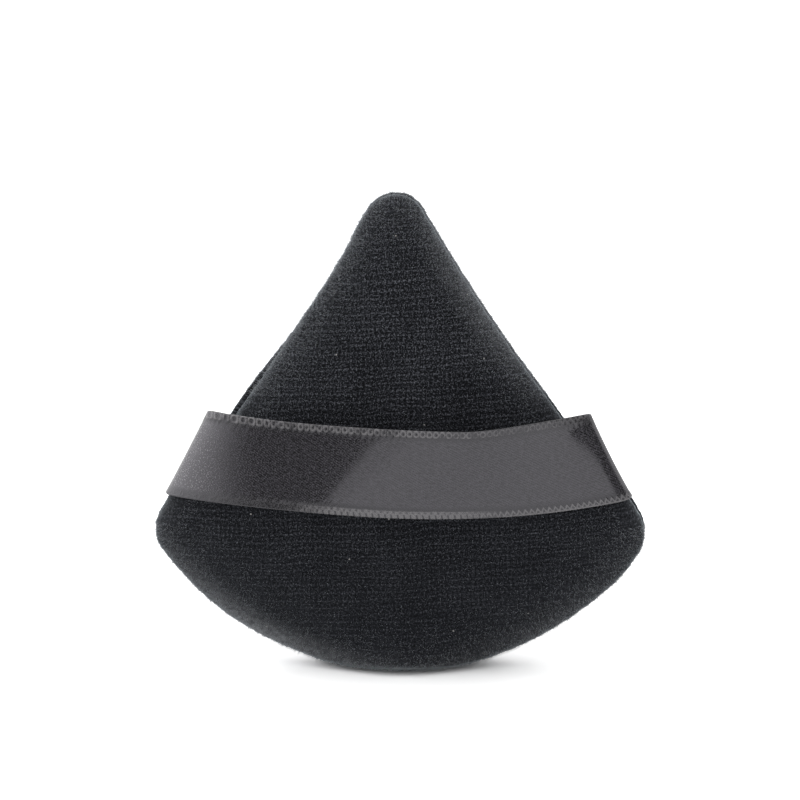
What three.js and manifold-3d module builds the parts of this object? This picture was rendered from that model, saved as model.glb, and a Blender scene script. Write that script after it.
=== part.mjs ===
// Triangular velour powder puff with a satin finger ribbon, standing on its curved lower edge.
// Millimetres, +Z up. X runs across the puff and Y through its thickness, with the ribbon on the -Y side.
// The origin is the middle of the flat that the puff's own weight presses into its lower edge.
import * as THREE from "three";
import { mergeVertices } from "three/addons/utils/BufferGeometryUtils.js";
import Module from "manifold-3d";

const wasm = await Module();
wasm.setup();

// Sewn outline of the puff, seen from the front
const PAD_WIDTH = 70;
const PAD_HEIGHT = 69;
const APEX_RADIUS = 4.3;
const CORNER_RADIUS = 4.7;
const CORNER_HEIGHT = 19.6;
const SIDE_DRAW_IN = 1.1;

// Crown of the puff and the flat that it stands on
const PAD_THICKNESS = 15;
const CROWN_HEIGHT = 30;
const CROWN_POWER = 0.4;
const FOOT_PRESS = 0.8;

// Velour panels, sewn face to face with their allowances turned inwards
const FABRIC_THICKNESS = 1;
const RIM_WALL = 1.8;
const SEAM_ALLOWANCE = 7;
const SEAM_GAP = 0.3;

// Thread of the seam and of the stretch that is closed after turning
const THREAD_DIAMETER = 0.3;
const STITCH_LENGTH = 4;
const STITCH_INSET = 3.2;
const TURNING_GAP = 24;

// Ribbon: its band, its arch over the fingers and its tails in the seam
const RIBBON_WIDTH = 12.7;
const RIBBON_THICKNESS = 0.35;
const RIBBON_HEIGHT = 31.3;
const RIBBON_SEAM_HEIGHT = 30;
const FINGER_GAP = 5.8;
const SPAN_LENGTH = 26;

// Turn of the ribbon round the side seam: how far each edge stands out and the upper one rises, how full
// each edge's arch is, where on the shoulder of the puff the turn passes and how round it is
const UPPER_FOLD_OUT = 3.2;
const LOWER_FOLD_OUT = 0.2;
const UPPER_FOLD_RISE = 0.4;
const UPPER_ARCH_POWER = 1.6;
const LOWER_ARCH_POWER = 2.3;
const FOLD_INSET = 0.6;
const FOLD_ROUND = 1.3;

// Clearance between neighbouring pieces
const CLEARANCE = 0.3;

// Fineness of the faceted surfaces
const APEX_STEPS = 3;
const SIDE_STEPS = 7;
const CORNER_STEPS = 4;
const HEM_STEPS = 9;
const OUTER_RING_COUNT = 7;
const INNER_RING_COUNT = 4;
const ARCH_STEPS = 12;
const FOLD_STEPS = 7;
const THREAD_SIDE_COUNT = 4;

// Finishes
const VELOUR = { color: "#26292c", roughness: 0.95, metalness: 0 };
const SPONGE = { color: "#d9d4c9", roughness: 0.9, metalness: 0 };
const SATIN = { color: "#55555a", roughness: 0.35, metalness: 0 };
const THREAD = { color: "#1c1d20", roughness: 0.6, metalness: 0 };

const HALF_GAP = SEAM_GAP / 2;
const CROWN = PAD_THICKNESS / 2 - HALF_GAP;
const CENTRE = new THREE.Vector2(0, CROWN_HEIGHT);

// Closed body of merged corners, ready to be cut or to cut with
function toSolid(geometry) {
  const bare = geometry.clone();
  bare.deleteAttribute("normal");
  bare.deleteAttribute("uv");
  const merged = mergeVertices(bare);
  const vertProperties = new Float32Array(merged.attributes.position.array);
  const triVerts = new Uint32Array(merged.index.array);
  return new wasm.Manifold(new wasm.Mesh({ numProp: 3, vertProperties, triVerts }));
}

// Indexed surface with its normals
function surface(positions, triangles) {
  const geometry = new THREE.BufferGeometry();
  geometry.setAttribute("position", new THREE.BufferAttribute(new Float32Array(positions), 3));
  geometry.setIndex(new THREE.BufferAttribute(new Uint32Array(triangles), 1));
  geometry.computeVertexNormals();
  return geometry;
}

// Geometry less each of the cutting solids
function cut(geometry, cutters) {
  const solid = cutters.reduce((left, cutter) => left.subtract(cutter), toSolid(geometry));
  const mesh = solid.getMesh();
  return surface(mesh.vertProperties, mesh.triVerts);
}

// Seam outline in the XZ plane, clockwise from the apex: tangent arcs round the apex, the drawn-in
// sides, the corners and the hem
function seamOutline() {
  const cornerX = PAD_WIDTH / 2 - CORNER_RADIUS;
  const cornerRise = CORNER_HEIGHT + FOOT_PRESS;
  const hemSpan = cornerX ** 2 + cornerRise ** 2 - CORNER_RADIUS ** 2;
  const hemRadius = hemSpan / (2 * (cornerRise - CORNER_RADIUS));
  const apex = new THREE.Vector2(0, PAD_HEIGHT - APEX_RADIUS);
  const corner = new THREE.Vector2(cornerX, CORNER_HEIGHT);
  const hem = new THREE.Vector2(0, hemRadius - FOOT_PRESS);

  const down = corner.clone().sub(apex);
  const length = down.length();
  const sideRadius = (length ** 2 / 4 + SIDE_DRAW_IN ** 2) / (2 * SIDE_DRAW_IN);
  const fromApex = sideRadius + APEX_RADIUS;
  const fromCorner = sideRadius + CORNER_RADIUS;
  const along = (length ** 2 + fromApex ** 2 - fromCorner ** 2) / (2 * length);
  const away = Math.sqrt(fromApex ** 2 - along ** 2);
  const unit = down.clone().normalize();
  const outward = new THREE.Vector2(-unit.y, unit.x);
  const side = apex.clone().addScaledVector(unit, along).addScaledVector(outward, away);

  const heading = (from, to) => Math.atan2(to.y - from.y, to.x - from.x);
  const arc = (centre, radius, from, to, steps) => Array.from({ length: steps }, (_, step) => {
    const angle = THREE.MathUtils.lerp(from, to, (step + 1) / steps);
    return new THREE.Vector2(Math.cos(angle), Math.sin(angle)).multiplyScalar(radius).add(centre);
  });
  const right = [
    ...arc(apex, APEX_RADIUS, Math.PI / 2, heading(apex, side), APEX_STEPS),
    ...arc(side, sideRadius, heading(side, apex), heading(side, corner), SIDE_STEPS),
    ...arc(corner, CORNER_RADIUS, heading(corner, side), heading(hem, corner), CORNER_STEPS),
    ...arc(hem, hemRadius, heading(hem, corner), -Math.PI / 2, HEM_STEPS).slice(0, -1),
  ];
  const left = right.map((point) => new THREE.Vector2(-point.x, point.y)).reverse();
  const top = new THREE.Vector2(0, PAD_HEIGHT);
  const bottom = new THREE.Vector2(0, -FOOT_PRESS);
  return { points: [top, ...right, bottom, ...left], side, sideRadius };
}

const SEAM = seamOutline();

// Point of the seam outline drawn in towards the middle of the crown
function insetPoint(point, inset) {
  const inward = CENTRE.clone().sub(point).normalize();
  return point.clone().addScaledVector(inward, inset);
}

// Height of a crown over its rim, from 1 in the middle to 0 at the rim, for a share of the way out
function crownShare(share) {
  return (1 - share ** 2) ** CROWN_POWER;
}

// Rings of a crown from its middle out to its rim, closer together towards the rim
function crownRings(rings, inset, base, height) {
  return Array.from({ length: rings + 1 }, (_, ring) => {
    const share = ring === rings ? 1 : Math.sin((Math.PI / 2) * (ring / rings));
    return { inset, share, depth: base + height * crownShare(share) };
  });
}

// Closed body swept round the seam outline from a section that starts and ends on the crown's axis.
// Each point of the section has its inset from the outline, its share of the way out and its place in Y.
function sweptBody(section) {
  const count = SEAM.points.length;
  const rings = section.slice(1, -1);
  const positions = [CENTRE.x, section[0].y, CENTRE.y];
  for (const { inset, share, y } of rings) {
    for (const point of SEAM.points) {
      const place = CENTRE.clone().lerp(insetPoint(point, inset), share);
      positions.push(place.x, y, place.y);
    }
  }
  positions.push(CENTRE.x, section[section.length - 1].y, CENTRE.y);

  const first = 0;
  const last = rings.length * count + 1;
  const at = (ring, index) => 1 + ring * count + (index % count);
  const triangles = [];
  for (let index = 0; index < count; index += 1) {
    triangles.push(first, at(0, index + 1), at(0, index));
    for (let ring = 0; ring + 1 < rings.length; ring += 1) {
      triangles.push(at(ring, index), at(ring + 1, index + 1), at(ring + 1, index));
      triangles.push(at(ring, index), at(ring, index + 1), at(ring + 1, index + 1));
    }
    triangles.push(at(rings.length - 1, index), at(rings.length - 1, index + 1), last);
  }
  return surface(positions, triangles);
}

// One velour panel: its crowned skin, the turn at the rim and the allowance inside the seam
function panelBody(facing) {
  const flange = HALF_GAP + FABRIC_THICKNESS;
  const skin = crownRings(OUTER_RING_COUNT, 0, HALF_GAP, CROWN);
  const allowance = [
    { inset: SEAM_ALLOWANCE, share: 1, depth: HALF_GAP },
    { inset: SEAM_ALLOWANCE, share: 1, depth: flange },
  ];
  const lining = crownRings(INNER_RING_COUNT, RIM_WALL, flange, CROWN - 2 * FABRIC_THICKNESS).reverse();
  const half = [...skin, ...allowance, ...lining];
  const section = half.map((point) => ({ ...point, y: facing * point.depth }));
  return sweptBody(facing < 0 ? section : section.reverse());
}

// Sponge core: two crowns, with their rims inside the stitches, joined by a web inside the allowances
function spongeBody() {
  const rim = STITCH_INSET + THREAD_DIAMETER + 2 * CLEARANCE;
  const groove = HALF_GAP + FABRIC_THICKNESS + CLEARANCE;
  const top = PAD_THICKNESS / 2 - FABRIC_THICKNESS - CLEARANCE;
  const half = [
    ...crownRings(OUTER_RING_COUNT, rim, groove, top - groove),
    { inset: SEAM_ALLOWANCE + CLEARANCE, share: 1, depth: groove },
  ];
  const front = half.map((point) => ({ ...point, y: -point.depth }));
  const back = half.map((point) => ({ ...point, y: point.depth })).reverse();
  return sweptBody([...front, ...back]);
}

// Line that the stitches follow, a closed curve inside the seam that starts at the apex
function stitchLine() {
  const points = SEAM.points.map((point) => insetPoint(point, STITCH_INSET));
  return new THREE.CatmullRomCurve3(points.map((point) => new THREE.Vector3(point.x, 0, point.y)), true);
}

// Holes and thread route of one run of stitches, between two distances along the stitch line.
// The thread lies on one allowance, goes through both at a hole and then lies on the other.
function stitchRun(line, from, to) {
  const length = line.getLength();
  const count = Math.round((to - from) / STITCH_LENGTH);
  const pitch = (to - from) / count;
  const depth = HALF_GAP + FABRIC_THICKNESS + CLEARANCE + THREAD_DIAMETER / 2;
  const pointAt = (distance, y) => line.getPointAt((distance / length) % 1).setY(y);
  const holes = [];
  const route = [];
  let y = -depth;
  for (let stitch = 0; stitch < count; stitch += 1) {
    const start = from + stitch * pitch;
    const hole = start + pitch / 2;
    holes.push(pointAt(hole, 0));
    route.push(pointAt(start, y), pointAt(hole, y), pointAt(hole, -y));
    y = -y;
  }
  route.push(pointAt(to, y));
  return { holes, route };
}

// Thread of constant section along a route of straight runs, mitred at each bend
function threadBody(route) {
  const radius = THREAD_DIAMETER / 2;
  const heading = (index) => route[index + 1].clone().sub(route[index]).normalize();
  const first = heading(0);
  const across = new THREE.Vector3(0, 1, 0).cross(first).normalize();
  const up = first.clone().cross(across);
  let ring = Array.from({ length: THREAD_SIDE_COUNT }, (_, side) => {
    const angle = (2 * Math.PI * side) / THREAD_SIDE_COUNT;
    const offset = across.clone().multiplyScalar(radius * Math.cos(angle));
    return offset.addScaledVector(up, radius * Math.sin(angle)).add(route[0]);
  });
  const positions = ring.flatMap((point) => point.toArray());
  for (let index = 1; index < route.length; index += 1) {
    const before = heading(index - 1);
    const mitre = index + 1 < route.length ? heading(index).add(before).normalize() : before;
    ring = ring.map((point) => {
      const ahead = route[index].clone().sub(point).dot(mitre) / before.dot(mitre);
      return point.clone().addScaledVector(before, ahead);
    });
    positions.push(...ring.flatMap((point) => point.toArray()));
  }

  const end = route.length - 1;
  const at = (index, side) => index * THREAD_SIDE_COUNT + (side % THREAD_SIDE_COUNT);
  const triangles = [];
  for (let side = 0; side < THREAD_SIDE_COUNT; side += 1) {
    for (let index = 0; index < end; index += 1) {
      triangles.push(at(index, side), at(index, side + 1), at(index + 1, side + 1));
      triangles.push(at(index, side), at(index + 1, side + 1), at(index + 1, side));
    }
    if (side > 1) {
      triangles.push(at(0, 0), at(0, side), at(0, side - 1));
      triangles.push(at(end, 0), at(end, side - 1), at(end, side));
    }
  }
  return surface(positions, triangles);
}

// Place where the middle of the ribbon crosses the right side seam, with the directions out of the seam
// and up along it
function ribbonAnchor() {
  const rise = RIBBON_SEAM_HEIGHT - SEAM.side.y;
  const run = Math.sqrt(SEAM.sideRadius ** 2 - rise ** 2);
  const point = new THREE.Vector2(SEAM.side.x - run, RIBBON_SEAM_HEIGHT);
  const out = SEAM.side.clone().sub(point).normalize();
  return { point, out, along: new THREE.Vector2(-out.y, out.x) };
}

const ANCHOR = ribbonAnchor();
const ANCHOR_SHARE = 1 - FOLD_INSET / ANCHOR.point.distanceTo(CENTRE);
const FOLD_DEPTH = HALF_GAP + CROWN * crownShare(ANCHOR_SHARE) + CLEARANCE + RIBBON_THICKNESS / 2;
const RIBBON_REACH = PAD_THICKNESS / 2 + FINGER_GAP + RIBBON_THICKNESS / 2;

// End of the ribbon's upper or lower edge on the right side seam
function seamEndOf(side) {
  return ANCHOR.point.clone().addScaledVector(ANCHOR.along, (side * RIBBON_WIDTH) / 2);
}

// Length of the tails, which end short of the allowances' own edge all the way across
const ALLOWANCE_LEAN = ANCHOR.out.dot(seamEndOf(-1).sub(CENTRE).normalize());
const RIBBON_TAIL = SEAM_ALLOWANCE * ALLOWANCE_LEAN - 2 * CLEARANCE;

// Right half of one ribbon edge, upper or lower: its arch as a function of the share of the way out, the
// points of its turn round the side seam and the inner end of its tail in the seam.
// In plan the arch is a power curve from the middle of the ribbon to its turn.
function ribbonEdge(side, foldOut, foldRise, archPower) {
  const inSeam = (inset) => {
    const place = seamEndOf(side).addScaledVector(ANCHOR.out, -inset);
    return new THREE.Vector3(place.x, 0, place.y);
  };
  const fold = inSeam(-foldOut).setZ(inSeam(-foldOut).z + foldRise);
  const middleZ = RIBBON_HEIGHT + (side * RIBBON_WIDTH) / 2;
  const sweep = RIBBON_REACH - FOLD_DEPTH;
  const arch = (share) => {
    const z = THREE.MathUtils.lerp(middleZ, fold.z, share ** 2);
    return new THREE.Vector3(fold.x * share, sweep * share ** archPower - RIBBON_REACH, z);
  };
  const leaving = new THREE.Vector3(fold.x, archPower * sweep, 2 * (fold.z - middleZ)).normalize();
  const turn = new THREE.CubicBezierCurve3(
    arch(1),
    arch(1).addScaledVector(leaving, FOLD_ROUND),
    inSeam(-CLEARANCE - FOLD_ROUND),
    inSeam(-CLEARANCE),
  );
  return { arch, halfWidth: fold.x, turn: turn.getPoints(FOLD_STEPS).slice(1), tail: inSeam(RIBBON_TAIL) };
}

const UPPER = ribbonEdge(1, UPPER_FOLD_OUT, UPPER_FOLD_RISE, UPPER_ARCH_POWER);
const LOWER = ribbonEdge(-1, LOWER_FOLD_OUT, 0, LOWER_ARCH_POWER);
const SPAN_SHARE = SPAN_LENGTH / 2 / UPPER.halfWidth;

// Strip of ribbon between points on its upper and lower edge, with its thickness square to its face.
// Its front and back are split along the same diagonals, so that it stays even where it twists.
function ribbonBody(upper, lower) {
  const last = upper.length - 1;
  const positions = [];
  for (let index = 0; index <= last; index += 1) {
    const rise = upper[index].clone().sub(lower[index]);
    const outward = (edge) => {
      const ahead = edge[Math.min(index + 1, last)].clone().sub(edge[Math.max(index - 1, 0)]);
      return ahead.cross(rise).setLength(RIBBON_THICKNESS / 2);
    };
    const section = [
      upper[index].clone().add(outward(upper)),
      upper[index].clone().sub(outward(upper)),
      lower[index].clone().sub(outward(lower)),
      lower[index].clone().add(outward(lower)),
    ];
    positions.push(...section.flatMap((point) => point.toArray()));
  }

  const cornerCount = 4;
  const at = (index, corner) => cornerCount * index + (corner % cornerCount);
  const triangles = [];
  for (let index = 0; index < last; index += 1) {
    for (let corner = 0; corner < cornerCount; corner += 1) {
      const [a, b] = [at(index, corner), at(index + 1, corner)];
      const [d, c] = [at(index, corner + 1), at(index + 1, corner + 1)];
      triangles.push(...(corner % 2 === 1 ? [a, b, d, b, c, d] : [a, b, c, a, c, d]));
    }
  }
  for (let corner = 2; corner < cornerCount; corner += 1) {
    triangles.push(at(0, 0), at(0, corner - 1), at(0, corner));
    triangles.push(at(last, 0), at(last, corner), at(last, corner - 1));
  }
  return surface(positions, triangles);
}

// Free middle of the ribbon, which a finger lifts
function ribbonSpan() {
  const across = (edge) => Array.from({ length: ARCH_STEPS + 1 }, (_, step) => {
    const share = SPAN_SHARE * ((2 * step) / ARCH_STEPS - 1);
    const point = edge.arch(Math.abs(share));
    return point.setX(point.x * Math.sign(share));
  });
  return ribbonBody(across(UPPER), across(LOWER));
}

// Right end of the ribbon: the flank of the arch, its turn round the side seam and its tail
function ribbonEnd() {
  const start = SPAN_SHARE + CLEARANCE / UPPER.halfWidth;
  const outwards = (edge) => {
    const flank = Array.from({ length: ARCH_STEPS + 1 }, (_, step) => {
      return edge.arch(THREE.MathUtils.lerp(start, 1, step / ARCH_STEPS));
    });
    return [...flank, ...edge.turn, edge.tail];
  };
  return ribbonBody(outwards(UPPER), outwards(LOWER));
}

// Same body on the other side of the puff, with its faces turned round to point outwards again
function mirrored(geometry) {
  const positions = geometry.clone().scale(-1, 1, 1).attributes.position.array;
  return surface(positions, Array.from(geometry.index.array).reverse());
}

// Room for one ribbon tail between the two panels
function tailPocket(hand) {
  const outside = RIM_WALL;
  const inside = SEAM_ALLOWANCE + CLEARANCE;
  const thickness = RIBBON_THICKNESS + 2 * CLEARANCE;
  const room = new THREE.BoxGeometry(inside + outside, thickness, RIBBON_WIDTH + 2 * CLEARANCE);
  const middle = ANCHOR.point.clone().addScaledVector(ANCHOR.out, (outside - inside) / 2);
  room.rotateY(-hand * ANCHOR.out.angle());
  room.translate(hand * middle.x, 0, middle.y);
  return toSolid(room);
}

// Room for the thread through everything that is caught in the seam
function stitchHoles(places) {
  const size = THREAD_DIAMETER + 2 * CLEARANCE;
  const depth = 2 * (SEAM_GAP + FABRIC_THICKNESS + CLEARANCE);
  const holes = places.map((place) => {
    const hole = new THREE.BoxGeometry(size, depth, size);
    return toSolid(hole.translate(place.x, place.y, place.z));
  });
  return holes.reduce((joined, hole) => joined.add(hole));
}

// Everything under the flat that the puff stands on
function underFoot() {
  const block = new THREE.BoxGeometry(PAD_WIDTH, PAD_THICKNESS, 2 * FOOT_PRESS);
  return toSolid(block.translate(0, 0, -FOOT_PRESS));
}

const line = stitchLine();
const hemMiddle = line.getLength() / 2;
const closing = stitchRun(line, hemMiddle - TURNING_GAP / 2, hemMiddle + TURNING_GAP / 2);
const seamStart = hemMiddle + TURNING_GAP / 2 + CLEARANCE;
const seamEnd = hemMiddle - TURNING_GAP / 2 - CLEARANCE + line.getLength();
const seam = stitchRun(line, seamStart, seamEnd);
const holes = stitchHoles([...closing.holes, ...seam.holes]);
const panelCuts = [tailPocket(1), tailPocket(-1), holes, underFoot()];

const group = new THREE.Group();

// One named piece of the puff
function addPiece(name, geometry, finish) {
  const piece = new THREE.Mesh(geometry, new THREE.MeshStandardMaterial(finish));
  piece.name = name;
  group.add(piece);
}

addPiece("front_cover", cut(panelBody(-1), panelCuts), VELOUR);
addPiece("back_cover", cut(panelBody(1), panelCuts), VELOUR);
addPiece("sponge_core", spongeBody(), SPONGE);
addPiece("ribbon_span", ribbonSpan(), SATIN);
addPiece("ribbon_right_end", cut(ribbonEnd(), [holes]), SATIN);
addPiece("ribbon_left_end", cut(mirrored(ribbonEnd()), [holes]), SATIN);
addPiece("seam_thread", threadBody(seam.route), THREAD);
addPiece("closing_thread", threadBody(closing.route), THREAD);

export default group;
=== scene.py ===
"""Looks of a triangular velour powder puff with a satin finger ribbon.

Sizes are in millimetres and meshes in metres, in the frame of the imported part: +Z up, X across the
puff and Y through its thickness, with the ribbon on the -Y side and the floor at Z 0.
"""
import logging
import math
from dataclasses import dataclass, field
from enum import Enum

import bpy
import numpy as np
from mathutils import Matrix, Vector


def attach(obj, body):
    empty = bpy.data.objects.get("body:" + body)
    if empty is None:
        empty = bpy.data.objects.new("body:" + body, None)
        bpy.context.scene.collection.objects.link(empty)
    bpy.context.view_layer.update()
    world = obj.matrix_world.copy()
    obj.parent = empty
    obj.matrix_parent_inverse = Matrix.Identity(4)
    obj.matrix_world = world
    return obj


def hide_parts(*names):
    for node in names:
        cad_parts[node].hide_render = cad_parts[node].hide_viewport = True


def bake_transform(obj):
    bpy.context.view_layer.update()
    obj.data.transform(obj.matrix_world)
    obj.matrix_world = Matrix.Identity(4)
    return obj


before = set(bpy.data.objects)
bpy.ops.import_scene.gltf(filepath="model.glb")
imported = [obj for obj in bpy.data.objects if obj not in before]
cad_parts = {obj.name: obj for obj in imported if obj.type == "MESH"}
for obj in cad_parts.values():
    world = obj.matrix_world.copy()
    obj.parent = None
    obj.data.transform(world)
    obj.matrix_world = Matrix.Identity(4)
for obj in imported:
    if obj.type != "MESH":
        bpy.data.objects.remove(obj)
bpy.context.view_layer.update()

LOG = logging.getLogger("powder_puff")
MM = 0.001
TINY = 1e-9
Array = np.ndarray
Material = bpy.types.Material
Piece = bpy.types.Object
Socket = bpy.types.NodeSocket
Pair = tuple[float, float]
Triple = tuple[float, float, float]
Colour = Triple


class Side(Enum):
    """Which of the two panels, by the sign of its Y."""

    FRONT = -1
    BACK = 1


class Slot(Enum):
    """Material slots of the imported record."""

    VELOUR = "velour"
    SPONGE = "sponge"
    RIBBON = "satin_ribbon"
    THREAD = "thread"


class Body(Enum):
    """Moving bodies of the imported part."""

    PAD = "pad"
    STRAP = "strap"


def smooth(value: Array) -> Array:
    """Ease from 0 to 1 with level ends: 3 v squared less 2 v cubed, for v held between 0 and 1."""
    held = np.clip(value, 0.0, 1.0)
    return held * held * (3.0 - 2.0 * held)


def unit(vectors: Array) -> Array:
    """Vectors along the last axis over their own lengths."""
    return vectors / np.maximum(np.linalg.norm(vectors, axis=-1, keepdims=True), TINY)


def upright(plan: Array, y: Array) -> Array:
    """Points from places in X and Z and a Y to each of them."""
    return np.stack((plan[..., 0], y, plan[..., 1]), axis=-1)


def lengths(line: Array) -> Array:
    """Length along a line to each of its points, from the first."""
    steps = np.linalg.norm(np.diff(line, axis=0), axis=1)
    return np.concatenate(((0.0,), np.cumsum(steps)))


def bearing(azimuth: float, elevation: float) -> Vector:
    """Way out to an azimuth round from the front and an elevation above level, in degrees."""
    turn, rise = math.radians(azimuth), math.radians(elevation)
    plan = math.cos(rise)
    return Vector((math.sin(turn) * plan, -math.cos(turn) * plan, math.sin(rise)))


def lattice_noise(u: Array, v: Array, seed: int) -> Array:
    """Smooth noise: random values on the whole numbers of u and v, eased in between.

    Args:
        u: First coordinate, one lattice step to each whole number.
        v: Second coordinate, of the same shape.
        seed: Seed of the lattice's values.

    Returns:
        Values between -1 and 1, of the same shape.
    """
    size = 128
    lattice = np.random.default_rng(seed).uniform(-1.0, 1.0, (size, size))
    low_u, low_v = np.floor(u).astype(int), np.floor(v).astype(int)
    ease_u, ease_v = smooth(u - low_u), smooth(v - low_v)
    here, ahead = low_u % size, (low_u + 1) % size
    below, above = low_v % size, (low_v + 1) % size
    lower = lattice[here, below] * (1.0 - ease_u) + lattice[ahead, below] * ease_u
    upper = lattice[here, above] * (1.0 - ease_u) + lattice[ahead, above] * ease_u
    return lower * (1.0 - ease_v) + upper * ease_v


def grid_quads(first: int, rows: int, columns: int) -> Array:
    """Quads of a grid of points that are numbered row by row, each going round from row to column.

    Args:
        first: Number of the grid's first point.
        rows: Count of rows of points.
        columns: Count of points in a row.

    Returns:
        Point numbers, four to a quad.
    """
    numbers = first + np.arange(rows * columns).reshape(rows, columns)
    corners = (numbers[:-1, :-1], numbers[1:, :-1], numbers[1:, 1:], numbers[:-1, 1:])
    return np.stack(corners, axis=-1).reshape(-1, 4)


def ring_quads(inner: Array, outer: Array) -> Array:
    """Quads between two closed rings of the same count of points.

    Args:
        inner: Point numbers of the ring whose order the faces follow.
        outer: Point numbers of the ring that it is joined to.

    Returns:
        Point numbers, four to a quad.
    """
    return np.stack((inner, np.roll(inner, -1), np.roll(outer, -1), outer), axis=-1)


def fan(ring: Array, tip: int) -> Array:
    """Triangles from each edge of a closed ring to one tip point."""
    return np.stack((ring, np.roll(ring, -1), np.full_like(ring, tip)), axis=-1)


def make_piece(name: str, points: Array, quads: Array, triangles: Array) -> Piece:
    """Put a surface into a new mesh object at the origin, with smooth faces.

    Args:
        name: Name of the piece.
        points: Points in millimetres, three to a row.
        quads: Point numbers of the four-sided faces.
        triangles: Point numbers of the three-sided faces.

    Returns:
        The new object, linked to the scene.
    """
    corners = np.concatenate((quads.ravel(), triangles.ravel())).astype(np.int32)
    sizes = np.repeat((4, 3), (len(quads), len(triangles)))
    starts = np.concatenate(([0], np.cumsum(sizes)[:-1])).astype(np.int32)
    mesh = bpy.data.meshes.new(name)
    mesh.vertices.add(len(points))
    mesh.vertices.foreach_set("co", (points * MM).astype(np.float32).ravel())
    mesh.loops.add(len(corners))
    mesh.loops.foreach_set("vertex_index", corners)
    mesh.polygons.add(len(sizes))
    mesh.polygons.foreach_set("loop_start", starts)
    mesh.polygons.foreach_set("use_smooth", np.ones(len(sizes), dtype=bool))
    mesh.update(calc_edges=True)
    piece = bpy.data.objects.new(name, mesh)
    bpy.context.scene.collection.objects.link(piece)
    return piece


def set_lay(piece: Piece, name: str, lay: Array) -> None:
    """Keep a cloth's own coordinates on its mesh, for the finish to read.

    Args:
        piece: Object that is dressed.
        name: Name of the attribute.
        lay: Three numbers to a point, the first two in millimetres along the cloth.
    """
    attribute = piece.data.attributes.new(name, "FLOAT_VECTOR", "POINT")
    attribute.data.foreach_set("vector", lay.astype(np.float32).ravel())


class Graph:
    """Node graph whose parts are linked as they are added."""

    def __init__(self, tree: bpy.types.NodeTree) -> None:
        """Work on one node tree."""
        self.tree = tree

    def feed(self, node: bpy.types.Node, inputs: dict) -> None:
        """Link or set a node's inputs.

        Args:
            node: Node that takes the inputs.
            inputs: Sockets to link or plain values to set, by input name or number.
        """
        for key, value in inputs.items():
            if isinstance(value, Socket):
                self.tree.links.new(value, node.inputs[key])
            else:
                node.inputs[key].default_value = value

    def add(self, kind: str, inputs: dict, output: str | int = 0, **settings: object) -> Socket:
        """Add a node to the graph.

        Args:
            kind: Blender's name of the node's type, without its leading word.
            inputs: Sockets or plain values, by input name or number.
            output: Which output is wanted.
            settings: The node's own settings.

        Returns:
            The wanted output.
        """
        node = self.tree.nodes.new("ShaderNode" + kind)
        for key, value in settings.items():
            setattr(node, key, value)
        self.feed(node, inputs)
        return node.outputs[output]

    def stretched(self, vector: Socket, factors: Colour) -> Socket:
        """A vector times three factors, one to each of its numbers."""
        return self.add("VectorMath", {0: vector, 1: factors}, operation="MULTIPLY")

    def maths(self, operation: str, *values: object) -> Socket:
        """One sum on sockets or numbers, by Blender's name of the operation."""
        return self.add("Math", dict(enumerate(values)), operation=operation)

    def ranged(self, value: Socket, old: Pair, new: Pair = (0.0, 1.0)) -> Socket:
        """A value eased from one range to another and held at its ends."""
        keys = {"Value": value, "From Min": old[0], "From Max": old[1]}
        keys |= {"To Min": new[0], "To Max": new[1]}
        return self.add("MapRange", keys, interpolation_type="SMOOTHSTEP")

    def parts(self, vector: Socket) -> tuple[Socket, ...]:
        """The three numbers of a vector."""
        node = self.tree.nodes.new("ShaderNodeSeparateXYZ")
        self.feed(node, {0: vector})
        return tuple(node.outputs)


class Shader(Graph):
    """Graph of one finish, round its one surface shader."""

    def __init__(self, name: str) -> None:
        """Start a material with its surface shader."""
        self.material = bpy.data.materials.new(name)
        self.material.use_nodes = True
        super().__init__(self.material.node_tree)
        self.surface = self.tree.nodes["Principled BSDF"]

    def lay(self, name: str) -> Socket:
        """The cloth's own coordinates from an attribute of its mesh."""
        return self.add("Attribute", {}, "Vector", attribute_name=name)

    def noise(self, vector: Socket, scale: float, detail: float) -> Socket:
        """Noise about one step to each whole number of the vector times the scale."""
        keys = {"Vector": vector, "Scale": scale, "Detail": detail, "Roughness": 0.6}
        return self.add("TexNoise", keys, "Fac", noise_dimensions="2D")

    def blend(self, share: Socket, low: object, high: object) -> Socket:
        """Colour between two colours, plain or linked, by a share from 0 to 1."""
        plain = [(*c, 1.0) if isinstance(c, tuple) else c for c in (low, high)]
        keys = {"Factor": share, 6: plain[0], 7: plain[1]}
        return self.add("Mix", keys, 2, data_type="RGBA")

    def relief(self, height: Socket, depth: float, strength: float) -> None:
        """Raise the surface's shading by a height, over a depth in millimetres."""
        keys = {"Height": height, "Distance": depth * MM, "Strength": strength}
        self.feed(self.surface, {"Normal": self.add("Bump", keys, "Normal")})


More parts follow.
